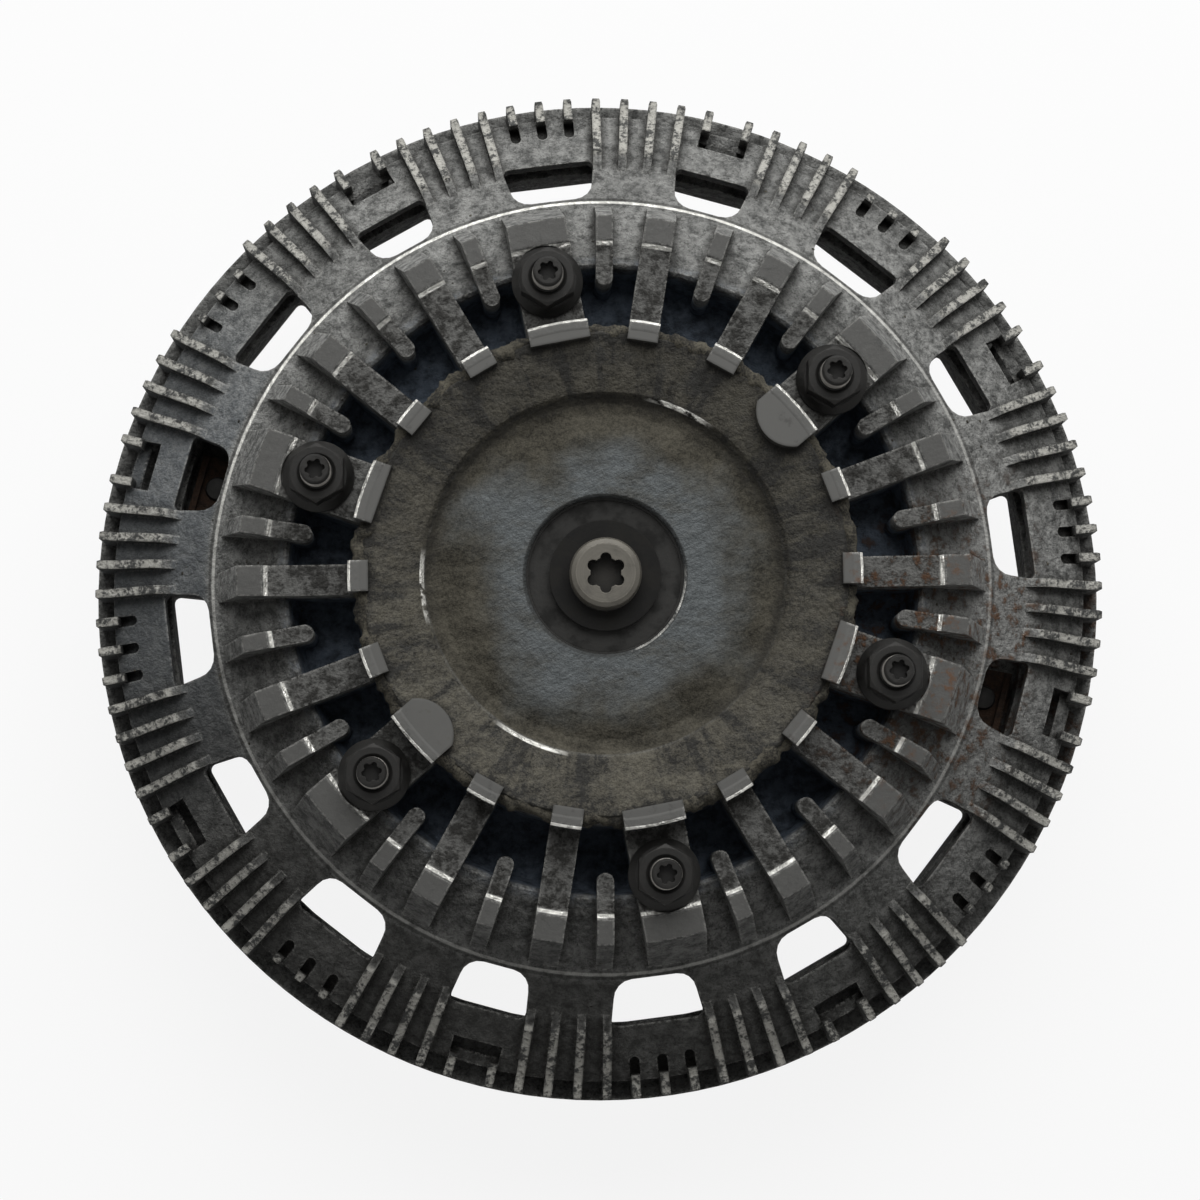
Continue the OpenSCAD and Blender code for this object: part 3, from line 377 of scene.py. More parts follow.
class CastingPlaces:
    """What both castings read: place, direction, roundness of edges, openness and noise."""

    def __init__(self, sheet, look):
        self.place = sheet.millimetres()
        self.x, self.y, self.z = sheet.parts(self.place)
        self.radius = (self.x * self.x + self.y * self.y) ** 0.5
        normal = sheet.node("ShaderNodeNewGeometry", output="Normal")
        self.up = sheet.parts(normal)[2]
        self.rounded = sheet.node("ShaderNodeBevel", {"samples": EDGE_RAYS}, {"Radius": look.edge_radius})
        self.edge = 1 - sheet.facing(self.rounded, normal)
        self.open = sheet.node(
            "ShaderNodeAmbientOcclusion", {"samples": CORNER_RAYS, "only_local": True},
            {"Distance": look.corner_reach}, "AO")
        self.blotch = sheet.noise(self.place, BLOTCH, 4.0)
        self.mottle = sheet.noise(self.place, MOTTLE, 4.0, 0.65)
        self.grain = sheet.noise(self.place, GRAIN, 3.0, 0.7)
        self.specks = sheet.noise(self.place, SPECK, 2.0, 0.6)
        wander = sheet.node("ShaderNodeTexNoise", {}, {
            "Vector": self.place, "Scale": WANDER, "Detail": 2.0}, "Color")
        bent = sheet.node("ShaderNodeVectorMath", {"operation": "MULTIPLY_ADD"}, {
            0: wander, 1: (7.0, 7.0, 7.0), 2: self.place})
        self.wrinkles = sheet.node("ShaderNodeTexVoronoi", {"feature": "DISTANCE_TO_EDGE"}, {
            "Vector": bent, "Scale": WRINKLE}, "Distance").under(0.0, 0.05)

    def gritty(self, sheet, look):
        """Colour of the rough casting: pale and sooty grains, dark flecks, and painted shade in the corners
        that also stands for dirt there.
        """
        grit = self.mottle * 0.6 + self.grain * 0.25 + self.specks * 0.15
        tone = sheet.mix(grit.over(0.36, 0.66), look.metal, look.soot)
        tone = sheet.mix(self.blotch.over(0.48, 0.7) * 0.35, tone, look.soot)
        flecks = (self.wrinkles * 0.4 + self.specks.over(0.62, 0.7) * 0.6).held()
        tone = sheet.mix(flecks, tone, look.grime_and_shade)
        # Painted shade: corners found by ambient occlusion are darkened, also standing for dirt in them.
        return sheet.mix(self.open.under(0.45, 0.9), tone, look.grime_and_shade)

    def relief(self):
        """Height of the rough casting."""
        return self.grain * 0.7 + self.mottle * 1.5

    def towards(self, heading, sharpness):
        """1 in one direction from the axis, falling to 0 away from it."""
        along = (self.x * math.cos(heading) + self.y * math.sin(heading)) / self.radius
        return along.over(1 - sharpness, 1.0)


def cover_casting(look, zones):
    """Front casting: brushed dish, brown collar, grey pads, black pockets, bright lines of worn metal and
    painted highlights, and painted shade in corners, in the dish's edge groove and on the side away from the
    lamp.
    """
    material, sheet = new_sheet("cover_casting")
    spot = CastingPlaces(sheet, look)
    r, z, up = spot.radius, spot.z, spot.up
    dish_hole, dish_flat, dish_edge = zones.dish_hole * MM, zones.dish_flat * MM, zones.dish_edge * MM
    collar, register, lip_r = zones.collar * MM, zones.register * MM, zones.lip * MM
    shoulder, step, step_out = zones.shoulder_in * MM, zones.step * MM, (zones.step + zones.step_width) * MM
    rim_start, window_out = zones.rim_start * MM, zones.window_out * MM
    pad_top, seat_top, outer_pad_top = zones.pad_top * MM, zones.seat_top * MM, zones.outer_pad_top * MM
    outer_pad_in, rust_in, rust_out = zones.outer_pad_in * MM, zones.rust_in * MM, zones.rust_out * MM
    level = up.over(0.93, 0.99)
    slanted = up.within(0.45, 0.9, 0.04)
    above = z - zones.rim_top * MM + (r - rim_start) * math.tan(zones.rim_slope)
    crest = above.over(2.4, 3.4) * r.over(window_out - 1.0, window_out + 1.0)
    outer_pads = level * z.within(outer_pad_top - 0.2, outer_pad_top + 0.2, 0.1)
    outer_pads = outer_pads * r.over(outer_pad_in, outer_pad_in + 1.0)
    inner_pads = level * z.over(pad_top - 0.4, pad_top - 0.2)
    pads = (inner_pads + outer_pads).held()
    seats = level * z.within(seat_top - 0.25, seat_top + 0.25, 0.1) * r.over(register, register + 0.5)
    ragged = z + (spot.mottle - 0.5) * 9.0
    pocket = ragged.under(seat_top - 10.0, seat_top - 4.0) * r.within(collar, lip_r + 1.5, 1.2)
    along = spot.x * 0.9 + spot.y * 0.42
    across = spot.y * 0.9 - spot.x * 0.42
    scratches = sheet.noise(sheet.vector(along * 0.12, across * 1.6, 0.0), 1.0, 4.0, 0.7)
    streaks = sheet.noise(sheet.vector(r * 2.2, spot.x / r * 2.0, spot.y / r * 2.0), 1.0, 3.0, 0.6)
    smudge = sheet.noise(sheet.vector(spot.x * 0.7, spot.y * 1.3, spot.z), 0.10, 5.0, 0.7)
    dish = (r + (spot.blotch - 0.5) * 40.0).under(dish_flat - 9.0, dish_flat + 6.0)
    smear = r.under(dish_edge - 1.5, dish_edge - 0.5)
    ring = r.within(dish_edge - 1.0, collar + 1.0, 0.5) * z.over(seat_top, seat_top + 1.0)
    hub = r.under(collar, collar + 1.0)
    lip = r.within(dish_hole - 0.1, dish_hole + 0.8, 0.15)
    spokes = sheet.noise(sheet.vector(spot.x / r * 11.0, spot.y / r * 11.0, r * 0.05), 1.0, 3.0, 0.6)

    on_rim = r.over(rim_start, rim_start + 2.0)
    tone = spot.gritty(sheet, look)
    tone = sheet.mix(spot.towards(look.blue_heading, 0.25) * on_rim * above.under(0.5, 1.5)
                     * spot.open * 0.6, tone, look.blue)
    # Painted shade: darker towards the side away from the lamp, most on the rim.
    oil = spot.towards(look.away_from_lamp_heading, 1.1) * r.over(lip_r, lip_r + 3.0)
    tone = sheet.mix(oil * (0.25 + 0.4 * on_rim), tone, look.grime_and_shade)
    # Painted shade: steep and downward faces on the rim, such as the fins' sides, are darkened.
    tone = sheet.mix(up.under(0.25, 0.6) * on_rim * 0.6, tone, look.grime_and_shade)
    # Rim fins' tops: pale chalk that is also a painted highlight on the lit tops, with soot where it flakes
    # off and along the edges.
    flaked = spot.mottle * 0.55 + spot.grain * 0.45
    flaked_off = (flaked.over(0.45, 0.57) + spot.edge.over(0.1, 0.26)).held()
    crest_tone = sheet.mix(flaked_off, look.chalk_and_highlight, look.soot)
    tone = sheet.mix(crest * up.over(0.3, 0.6) * 0.85, tone, crest_tone)
    # Painted shade: a darker band along the foot of the step ring.
    tone = sheet.mix(r.within(step_out + 0.2, step + 1.6, 0.2) * 0.5, tone, look.grime_and_shade)
    speckle = (spot.grain * 0.55 + spot.specks * 0.45).over(0.38, 0.64)
    oily = sheet.mix((smudge.over(0.3, 0.7) * 0.6 + speckle * 0.5).held(),
                     scaled(look.brown, 1.5), scaled(look.brown, 0.3))
    marks = (streaks.over(0.35, 0.7) * 0.15 + scratches.over(0.4, 0.65) * 0.3 + speckle * 0.4).held()
    brushed = sheet.mix(marks, scaled(look.dish, 1.3), scaled(look.dish, 0.45))
    tone = sheet.mix(smear, tone, sheet.mix(dish * (1 - 0.6 * smudge.over(0.45, 0.68)), oily, brushed))
    # Painted shadow: a dark band just inside the dish's edge, left out on the side away from the lamp.
    groove_shadow = (r + (spot.mottle - 0.5) * 8.0).within(dish_edge - 3.2, dish_edge + 1.0, 2.2)
    tone = sheet.mix(groove_shadow * (1 - spot.towards(look.away_from_lamp_heading, 0.9)) * 0.7, tone, look.grime_and_shade)
    # Painted light: the collar's brown is lighter on the side away from the lamp, where the collar faces it.
    lit_side_brown = sheet.mix(spot.towards(look.away_from_lamp_heading, 1.3), scaled(look.brown, 1.35), scaled(look.brown, 1.95))
    # Baked dirt on the collar, with painted shade where it is less open.
    caked_dirt_and_shade = (smudge.over(0.35, 0.7) * 0.65 + (1 - spot.open) * 0.5 + speckle * 0.5
             + spokes.over(0.48, 0.66) * 0.5
             + (r + (spot.mottle - 0.5) * 9.0).over(collar - 3.0, collar) * 0.4).held()
    baked = sheet.mix(caked_dirt_and_shade, lit_side_brown, look.grime_and_shade)
    tone = sheet.mix(ring * 0.92, tone, baked)
    tone = sheet.mix(inner_pads * (0.95 - 0.4 * spot.mottle.over(0.56, 0.72)), tone, look.pad)
    tone = sheet.mix(outer_pads * (0.92 - 0.4 * spot.mottle.over(0.52, 0.7)), tone,
                     scaled(look.pad, 0.72))
    seat_tone = sheet.mix((spot.mottle * 0.7 + spot.grain * 0.3).over(0.42, 0.58), look.pad, look.grime_and_shade)
    tone = sheet.mix(seats * 0.85, tone, seat_tone)
    sludge = sheet.mix((spot.mottle * 0.6 + smudge * 0.4).over(0.4, 0.62),
                       scaled(look.pocket, 1.2), scaled(look.pocket, 0.4))
    tone = sheet.mix(pocket * 0.93, tone, sludge)
    tone = sheet.mix(lip * 0.4, tone, look.grime_and_shade)
    rusty = spot.towards(look.rust_heading, 0.16) * r.within(rust_in, rust_out, 4.0)
    rusty = rusty * spot.mottle.over(0.5, 0.66)
    tone = sheet.mix(rusty * 0.75, tone, look.rust)

    # Bright chamfer lines: bare metal with a painted highlight; the step ring's line is a painted highlight
    # brightest towards shine_heading.
    lines = slanted * (r.within(register - 0.75, register + 0.2, 0.1) * z.over(pad_top - 1.2, pad_top - 0.8)
                       + r.within(shoulder + 0.2, shoulder + 1.1, 0.15)
                       * z.within(seat_top - 0.1, outer_pad_top + 0.1, 0.1)
                       + r.within(step - 0.1, step_out, 0.12)
                       * (0.25 + 0.75 * spot.towards(look.shine_heading, 0.9)))
    # Painted highlights: glints on the dish's edge and on the lip of its hole.
    glints = r.within(dish_edge - 0.9, dish_edge + 0.1, 0.15) * (
        spot.towards(look.left_glint, 0.025) + spot.towards(look.low_glint, 0.03)
        + spot.towards(look.high_glint, 0.025)).held()
    glints = glints + r.within(dish_hole, dish_hole + 0.5, 0.1) * spot.towards(look.hole_glint, 0.3) * 0.8
    scuffs = spot.edge.over(0.02, 0.12) * spot.open.over(0.45, 0.8) * spot.grain.under(0.44, 0.6) * (1 - hub)
    # Real wear on edges together with the painted highlights above.
    bright = (lines * (0.6 + 0.4 * spot.mottle.under(0.5, 0.66)) + glints * spot.mottle.under(0.45, 0.6)
              + scuffs * 0.35 * (1 - pocket) * (1 - crest)).held()
    # look.worn paints both wear and the painted highlights.
    tone = sheet.mix(bright, tone, look.worn)

    rough = 0.8 - 0.25 * pads - 0.3 * dish - 0.5 * bright
    metallic = (0.25 * dish * smear * (1 - lip) + 0.15 * pads + 0.8 * bright).held()
    smooth = (pads * 0.88 + smear * 0.5 + ring * 0.15).held()
    height = spot.relief() * (1 - smooth) + scratches * 0.1 * smear
    sheet.surface(
        Base_Color=tone, Roughness=rough, Metallic=metallic, Specular_IOR_Level=0.12,
        Normal=sheet.bump(height, look.grain_height, spot.rounded, 0.9))
    return material


def body_casting(look):
    """Rear casting: rougher and darker than the front one."""
    material, sheet = new_sheet("body_casting")
    spot = CastingPlaces(sheet, look)
    # gritty paints shade into the corners.
    tone = sheet.mix(0.35, spot.gritty(sheet, look), look.grime_and_shade)
    rusty = spot.towards(look.rust_heading, 0.05) * spot.mottle.over(0.45, 0.65)
    tone = sheet.mix(rusty * 0.5, tone, look.rust)
    scuffs = spot.edge.over(0.02, 0.12) * spot.open.over(0.45, 0.8) * spot.grain.under(0.42, 0.6)
    tone = sheet.mix(scuffs * 0.4, tone, look.worn)
    sheet.surface(
        Base_Color=tone, Roughness=0.82 - 0.3 * scuffs, Metallic=0.5 * scuffs, Specular_IOR_Level=0.12,
        Normal=sheet.bump(spot.relief(), look.grain_height, spot.rounded, 0.9))
    return material


def steel(name, tone, stain, stained, rough, metallic=0.85, turned=True, sooty=0.0, reach=0.004,
          shine=0.25):
    """Plain steel: turned or drawn marks, stains in patches, edges lightened as a painted highlight and,
    where sooty is given, corners darkened as painted shade.
    """
    material, sheet = new_sheet(name)
    place = sheet.millimetres()
    x, y, z = sheet.parts(place)
    radius = (x * x + y * y) ** 0.5
    marks_at = sheet.vector(radius * 3.0, z * 3.0, 0.0) if turned else sheet.vector(x * 3.0, y * 0.4, z * 3.0)
    marks = sheet.noise(marks_at, 1.0, 3.0)
    patches = sheet.noise(place, 0.16, 5.0, 0.6)
    specks = sheet.noise(place, 1.1, 4.0, 0.6)
    normal = sheet.node("ShaderNodeNewGeometry", output="Normal")
    rounded = sheet.node("ShaderNodeBevel", {"samples": EDGE_RAYS}, {"Radius": 0.0004})
    edge = (1 - sheet.facing(rounded, normal)).over(0.02, 0.12) * specks.under(0.5, 0.7)
    spots = specks.over(0.6, 0.75) * stained
    cover = (patches.over(0.62 - 0.3 * stained, 0.8 - 0.2 * stained) + spots).held()
    # Painted shade: where sooty is given, corners found by ambient occlusion are darkened towards the stain.
    corner = 0.0
    if sooty:
        open_to = sheet.node(
            "ShaderNodeAmbientOcclusion", {"samples": CORNER_RAYS}, {"Distance": reach}, "AO")
        corner = open_to.under(0.5, 0.95) * sooty
    shade = sheet.mix(marks.over(0.3, 0.7) * 0.4, tone, scaled(tone, 0.7))
    shade = sheet.mix(cover * stained, shade, stain)
    # Painted highlight: edges are lightened.
    shade = sheet.mix(edge * 0.6, shade, scaled(tone, 2.6))
    shade = sheet.mix(corner, shade, scaled(stain, 0.4))
    sheet.surface(
        Base_Color=shade, Roughness=(rough + 0.3 * cover * stained - 0.12 * edge + 0.3 * corner).held(),
        Metallic=(metallic - 0.6 * cover * stained - corner).held(), Specular_IOR_Level=shine,
        Normal=sheet.bump(marks * 0.25 + specks * stained, 0.00012, rounded))
    return material


def dusty_paint(look):
    """Dark paint of the coil carrier with dust and small chips."""
    material, sheet = new_sheet("carrier_steel")
    place = sheet.millimetres()
    normal = sheet.node("ShaderNodeNewGeometry", output="Normal")
    rounded = sheet.node("ShaderNodeBevel", {"samples": EDGE_RAYS}, {"Radius": 0.0006})
    edge = (1 - sheet.facing(rounded, normal)).over(0.03, 0.15)
    dust = sheet.noise(place, 0.09, 6.0, 0.65)
    peel = sheet.noise(place, 1.2, 3.0)
    chips = edge * sheet.noise(place, 0.6, 4.0).over(0.5, 0.6)
    shade = sheet.mix(dust.over(0.45, 0.7) * 0.55, look.carrier, look.dust)
    shade = sheet.mix(chips, shade, look.shaft)
    sheet.surface(
        Base_Color=shade, Roughness=0.45 + 0.35 * dust.over(0.4, 0.7), Metallic=chips * 0.8,
        Normal=sheet.bump(peel, 0.0001, rounded))
    return material


def wound_copper(look):
    """Varnished wire: turns side by side along the axis."""
    material, sheet = new_sheet("coil_copper")
    place = sheet.millimetres()
    x, y, z = sheet.parts(place)
    radius = (x * x + y * y) ** 0.5
    pitch = look.wire_pitch * MM
    turns = sheet.math("PINGPONG", z / pitch, 0.5) + sheet.math("PINGPONG", radius / pitch, 0.5)
    varnish = sheet.noise(place, 0.2, 4.0)
    shade = sheet.mix(varnish.over(0.35, 0.7), look.copper, scaled(look.copper, 0.45))
    sheet.surface(
        Base_Color=shade, Roughness=0.28 + 0.3 * varnish, Metallic=0.8,
        Normal=sheet.bump(turns, look.wire_pitch * 0.5))
    return material


def matt_rubber(look):
    """Black rubber with a little dust."""
    material, sheet = new_sheet("seal_rubber")
    place = sheet.millimetres()
    bloom = sheet.noise(place, 0.3, 5.0, 0.6)
    shade = sheet.mix(bloom.over(0.5, 0.75) * 0.4, look.rubber, look.dust)
    sheet.surface(
        Base_Color=shade, Roughness=0.65 + 0.25 * bloom,
        Normal=sheet.bump(sheet.noise(place, 3.0, 3.0), 0.00005))
    return material


def rusty_iron(look):
    """Balance weights: flaking rust over dark iron."""
    material, sheet = new_sheet("weight_steel")
    place = sheet.millimetres()
    flakes = sheet.noise(place, 0.5, 6.0, 0.65)
    pits = sheet.noise(place, 2.0, 4.0, 0.6)
    shade = sheet.mix(flakes.over(0.4, 0.62), look.weight, scaled(look.weight, 0.35))
    shade = sheet.mix(pits.over(0.58, 0.7) * 0.6, shade, scaled(look.weight, 2.4))
    sheet.surface(
        Base_Color=shade, Roughness=0.72 + 0.2 * pits, Metallic=0.1,
        Normal=sheet.bump(flakes + pits * 0.5, 0.0005))
    return material


def baked_dirt(look):
    """Crumbs of dirt that heat has baked on the casting."""
    material, sheet = new_sheet("baked_dirt")
    place = sheet.millimetres()
    patches = sheet.noise(place, 0.25, 4.0, 0.6)
    specks = sheet.noise(place, 2.0, 4.0, 0.6)
    shade = sheet.mix((patches * 0.6 + specks * 0.4).over(0.38, 0.62), scaled(look.brown, 1.5), look.grime_and_shade)
    sheet.surface(
        Base_Color=shade, Roughness=0.75 + 0.2 * specks, Specular_IOR_Level=0.12,
        Normal=sheet.bump(specks, 0.0003))
    return material


def dress(nodes, material):
    """Gives CAD nodes a material."""
    for name in nodes:
        frame["nodes"][name].data.materials[0] = material


def plain_mesh(piece):
    """Turns a piece with a live node tree into a plain mesh."""
    bpy.context.view_layer.update()
    made = bpy.data.meshes.new_from_object(piece.evaluated_get(bpy.context.evaluated_depsgraph_get()))
    piece.modifiers.clear()
    piece.data = made
    while made.materials and made.materials[0] is None:
        made.materials.pop(index=0)
    if not made.polygons:
        raise RuntimeError(piece.name + " came out empty")
    return piece


def grown_piece(name, mesh, group, inputs):
    """A piece made by a node group on a mesh, as a plain mesh."""
    piece = bpy.data.objects.new(name, mesh)
    bpy.context.scene.collection.objects.link(piece)
    modifier = piece.modifiers.new(name, "NODES")
    modifier.node_group = group
    sockets = {item.name: item.identifier for item in group.interface.items_tree if item.in_out == "INPUT"}
    for label, value in inputs.items():
        modifier[sockets[label]] = value
    return plain_mesh(piece)


def new_group(name, inputs):
    """An empty geometry node group with named inputs, its sheet and its input values."""
    group = bpy.data.node_groups.new(name, "GeometryNodeTree")
    group.interface.new_socket("Geometry", in_out="OUTPUT", socket_type="NodeSocketGeometry")
    for label, kind in inputs.items():
        group.interface.new_socket(label, in_out="INPUT", socket_type=kind)
    sheet = NodeSheet(group)
    entry = group.nodes.new("NodeGroupInput")
    return group, sheet, {label: Value(sheet, entry.outputs[label]) for label in inputs}


def close_group(sheet, geometry, material):
    """Realizes the instances, sets the material and ends the group."""
    real = sheet.node("GeometryNodeRealizeInstances", {}, {"Geometry": geometry})
    coated = sheet.node("GeometryNodeSetMaterial", {}, {"Geometry": real, "Material": material})
    sheet.node("NodeGroupOutput", {}, {"Geometry": coated})


def thread_group():
    """A helical ridge, repeated on a circle of studs."""
    group, sheet, value = new_group("stud_thread", {
        "Circle": "NodeSocketFloat", "Count": "NodeSocketInt", "First": "NodeSocketFloat",
        "Crest": "NodeSocketFloat", "Ridge": "NodeSocketFloat", "Pitch": "NodeSocketFloat",
        "Start": "NodeSocketFloat", "End": "NodeSocketFloat", "Material": "NodeSocketMaterial"})
    height = value["End"] - value["Start"]
    root = value["Crest"] - value["Ridge"] * 0.4
    helix = sheet.node("GeometryNodeCurveSpiral", {}, {
        "Resolution": 36, "Rotations": height / value["Pitch"], "Start Radius": root, "End Radius": root,
        "Height": height})
    section = sheet.node("GeometryNodeCurvePrimitiveCircle", {}, {"Resolution": 4, "Radius": value["Ridge"]})
    ridge = sheet.node("GeometryNodeCurveToMesh", {}, {
        "Curve": helix, "Profile Curve": section, "Fill Caps": True})
    circle = sheet.node("GeometryNodeMeshCircle", {}, {"Vertices": value["Count"], "Radius": value["Circle"]})
    placed = sheet.node("GeometryNodeTransform", {}, {
        "Geometry": circle, "Translation": sheet.vector(0.0, 0.0, value["Start"]),
        "Rotation": sheet.vector(0.0, 0.0, value["First"])})
    repeated = sheet.node("GeometryNodeInstanceOnPoints", {}, {"Points": placed, "Instance": ridge})
    close_group(sheet, repeated, value["Material"])
    return group


def grit_group():
    """Flat crumbs scattered on the upper side of a casting between two radii."""
    group, sheet, value = new_group("casting_grit", {
        "Casting": "NodeSocketGeometry", "Density": "NodeSocketFloat", "Smallest": "NodeSocketFloat",
        "Largest": "NodeSocketFloat", "Inner": "NodeSocketFloat", "Outer": "NodeSocketFloat",
        "Flat": "NodeSocketFloat", "Top": "NodeSocketFloat", "Seed": "NodeSocketInt",
        "Material": "NodeSocketMaterial"})
    place = sheet.node("GeometryNodeInputPosition")
    x, y, z = sheet.parts(place)
    radius = (x * x + y * y) ** 0.5
    up = sheet.parts(sheet.node("GeometryNodeInputNormal"))[2]
    patches = sheet.noise(place, 60.0, 3.0).over(0.5, 0.62)
    low = sheet.math("LESS_THAN", z, value["Top"])
    lying = sheet.math("GREATER_THAN", up, 0.35)
    beyond = sheet.math("GREATER_THAN", radius, value["Inner"])
    inside = beyond * sheet.math("LESS_THAN", radius, value["Outer"])
    points = sheet.node("GeometryNodeDistributePointsOnFaces", {}, {
        "Mesh": value["Casting"], "Density": value["Density"] * patches * low * lying * inside,
        "Seed": value["Seed"]})
    turned = Value(sheet, points.socket.node.outputs["Rotation"])
    crumb = sheet.node("GeometryNodeMeshIcoSphere", {}, {"Radius": 1.0, "Subdivisions": 1})
    size = sheet.node("FunctionNodeRandomValue", {"data_type": "FLOAT"}, {
        2: value["Smallest"], 3: value["Largest"], "Seed": value["Seed"]}, 1)
    scattered = sheet.node("GeometryNodeInstanceOnPoints", {}, {
        "Points": points, "Instance": crumb, "Rotation": turned,
        "Scale": sheet.vector(size, size * 0.8, size * value["Flat"])})
    close_group(sheet, scattered, value["Material"])
    return group


def crust_group():
    """A ragged bead of dirt round the axis."""
    group, sheet, value = new_group("collar_crust", {
        "Radius": "NodeSocketFloat", "Height": "NodeSocketFloat", "Thickness": "NodeSocketFloat",
        "Ragged": "NodeSocketFloat", "Lump": "NodeSocketFloat", "Material": "NodeSocketMaterial"})
    path = sheet.node("GeometryNodeCurvePrimitiveCircle", {}, {"Resolution": 540, "Radius": value["Radius"]})
    section = sheet.node("GeometryNodeCurvePrimitiveCircle", {}, {
        "Resolution": 12, "Radius": value["Thickness"]})
    bead = sheet.node("GeometryNodeCurveToMesh", {}, {"Curve": path, "Profile Curve": section})
    lumps = sheet.noise(sheet.node("GeometryNodeInputPosition"), 1 / value["Lump"], 4.0, 0.6)
    reach = (lumps - 0.5) * 4 * value["Ragged"]
    offset = sheet.node("ShaderNodeVectorMath", {"operation": "SCALE"}, {
        0: sheet.node("GeometryNodeInputNormal"), "Scale": reach})
    worn = sheet.node("GeometryNodeSetPosition", {}, {"Geometry": bead, "Offset": offset})
    raised = sheet.node("GeometryNodeTransform", {}, {
        "Geometry": worn, "Translation": sheet.vector(0.0, 0.0, value["Height"])})
    close_group(sheet, raised, value["Material"])
    return group


class CLUTCH_OT_castings(bpy.types.Operator):
    """Gives the two castings their worn and dirty finish, with painted highlights and shade"""

    bl_idname = "clutch.castings"
    bl_label = "Castings"

    def execute(self, context):
        scene = context.scene
        dress(["front_cover"], cover_casting(scene.casting_finish, scene.casting_zones))
        dress(["rear_body"], body_casting(scene.casting_finish))
        return {"FINISHED"}


class CLUTCH_OT_fasteners(bpy.types.Operator):
    """Gives nuts, studs, screws, rivets and the centre pieces their finish"""

    bl_idname = "clutch.fasteners"
    bl_label = "Fasteners"

    def execute(self, context):
        look = context.scene.steel_finish
        grime_and_shade = context.scene.casting_finish.grime_and_shade
        # sooty sets how much shade is painted into corners and sockets.
        dress(["fan_nuts", "fan_studs", "cover_screws", "weight_rivets"],
              steel("fastener_steel", look.fastener, grime_and_shade, stained=0.5, rough=0.42, metallic=0.6,
                    turned=False, sooty=0.9))
        dress(["centre_screw"],
              steel("screw_steel", look.screw, look.washer, stained=0.35, rough=0.45, metallic=0.3,
                    sooty=0.95, reach=0.012))
        dress(["centre_washer"],
              steel("washer_steel", look.washer, grime_and_shade, stained=0.6, rough=0.7, metallic=0.1, shine=0.12))
        dress(["front_bearing_shield"],
              steel("shield_steel", look.shield, look.washer, stained=0.7, rough=0.7, metallic=0.1))
        dress(["front_circlip", "valve_spring"],
              steel("spring_steel", look.spring, look.dust, stained=0.2, rough=0.4, turned=False))
        return {"FINISHED"}


class CLUTCH_OT_turning(bpy.types.Operator):
    """Gives shaft, rotor, bearings, seals and pump plate their finish"""

    bl_idname = "clutch.turning"
    bl_label = "Turning pieces"

    def execute(self, context):
        look = context.scene.steel_finish
        rust = context.scene.casting_finish.rust
        dress(["drive_shaft", "armature"], steel("shaft_steel", look.shaft, rust, stained=0.45, rough=0.42))
        dress(["rotor_disc"], steel("rotor_alloy", look.rotor, look.dust, stained=0.15, rough=0.35))
        dress([name + part for name in ("front_bearing_", "rear_bearing_", "coil_bearing_")
               for part in ("inner", "outer", "balls")],
              steel("bearing_steel", look.bearing, look.dust, stained=0.15, rough=0.22))
        dress(["front_bearing_outer"],
              steel("dirty_race_steel", look.shield, look.washer, stained=0.7, rough=0.5, metallic=0.3))
        dress(["front_bearing_cage", "rear_bearing_cage", "coil_bearing_cage"],
              steel("cage_steel", look.cage, look.dust, stained=0.2, rough=0.35))
        dress(["pump_plate", "valve_pin", "valve_lever"],
              steel("plate_steel", look.plate, look.dust, stained=0.25, rough=0.38, turned=False))
        dress(["shaft_seal", "cover_seal"], matt_rubber(look))
        return {"FINISHED"}


class CLUTCH_OT_magnet(bpy.types.Operator):
    """Gives the coil carrier, its winding and the balance weights their finish"""

    bl_idname = "clutch.magnet"
    bl_label = "Electromagnet and weights"

    def execute(self, context):
        look = context.scene.steel_finish
        dress(["coil_carrier"], dusty_paint(look))
        dress(["coil_winding"], wound_copper(look))
        dress(["balance_weights"], rusty_iron(look))
        return {"FINISHED"}


class CLUTCH_OT_threads(bpy.types.Operator):
    """Puts the thread on the free ends of the fan studs"""

    bl_idname = "clutch.threads"
    bl_label = "Stud threads"

    def execute(self, context):
        sizes = context.scene.thread_sizes
        piece = grown_piece("stud_threads", bpy.data.meshes.new("stud_threads"), thread_group(), {
            "Circle": sizes.circle, "Count": sizes.count, "First": sizes.first, "Crest": sizes.crest,
            "Ridge": sizes.ridge, "Pitch": sizes.pitch, "Start": sizes.start, "End": sizes.end,
            "Material": bpy.data.materials["fastener_steel"]})
        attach(piece, "housing")
        return {"FINISHED"}


class CLUTCH_OT_grit(bpy.types.Operator):
    """Scatters baked grit on the front casting and a crust along its collar"""

    bl_idname = "clutch.grit"
    bl_label = "Grit"

    def execute(self, context):
        sizes = context.scene.grit_sizes
        dirt = baked_dirt(context.scene.casting_finish)
        grit = grown_piece("casting_grit", frame["nodes"]["front_cover"].data.copy(), grit_group(), {
            "Density": sizes.density, "Smallest": sizes.smallest, "Largest": sizes.largest,
            "Inner": sizes.inner, "Outer": sizes.outer, "Flat": sizes.flat, "Top": sizes.top,
            "Seed": sizes.seed, "Material": dirt})
        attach(grit, "housing")
        sizes = context.scene.crust_sizes
        crust = grown_piece("collar_crust", bpy.data.meshes.new("collar_crust"), crust_group(), {
            "Radius": sizes.radius, "Height": sizes.height, "Thickness": sizes.thickness,
            "Ragged": sizes.ragged, "Lump": sizes.lump, "Material": dirt})
        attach(crust, "housing")
        return {"FINISHED"}


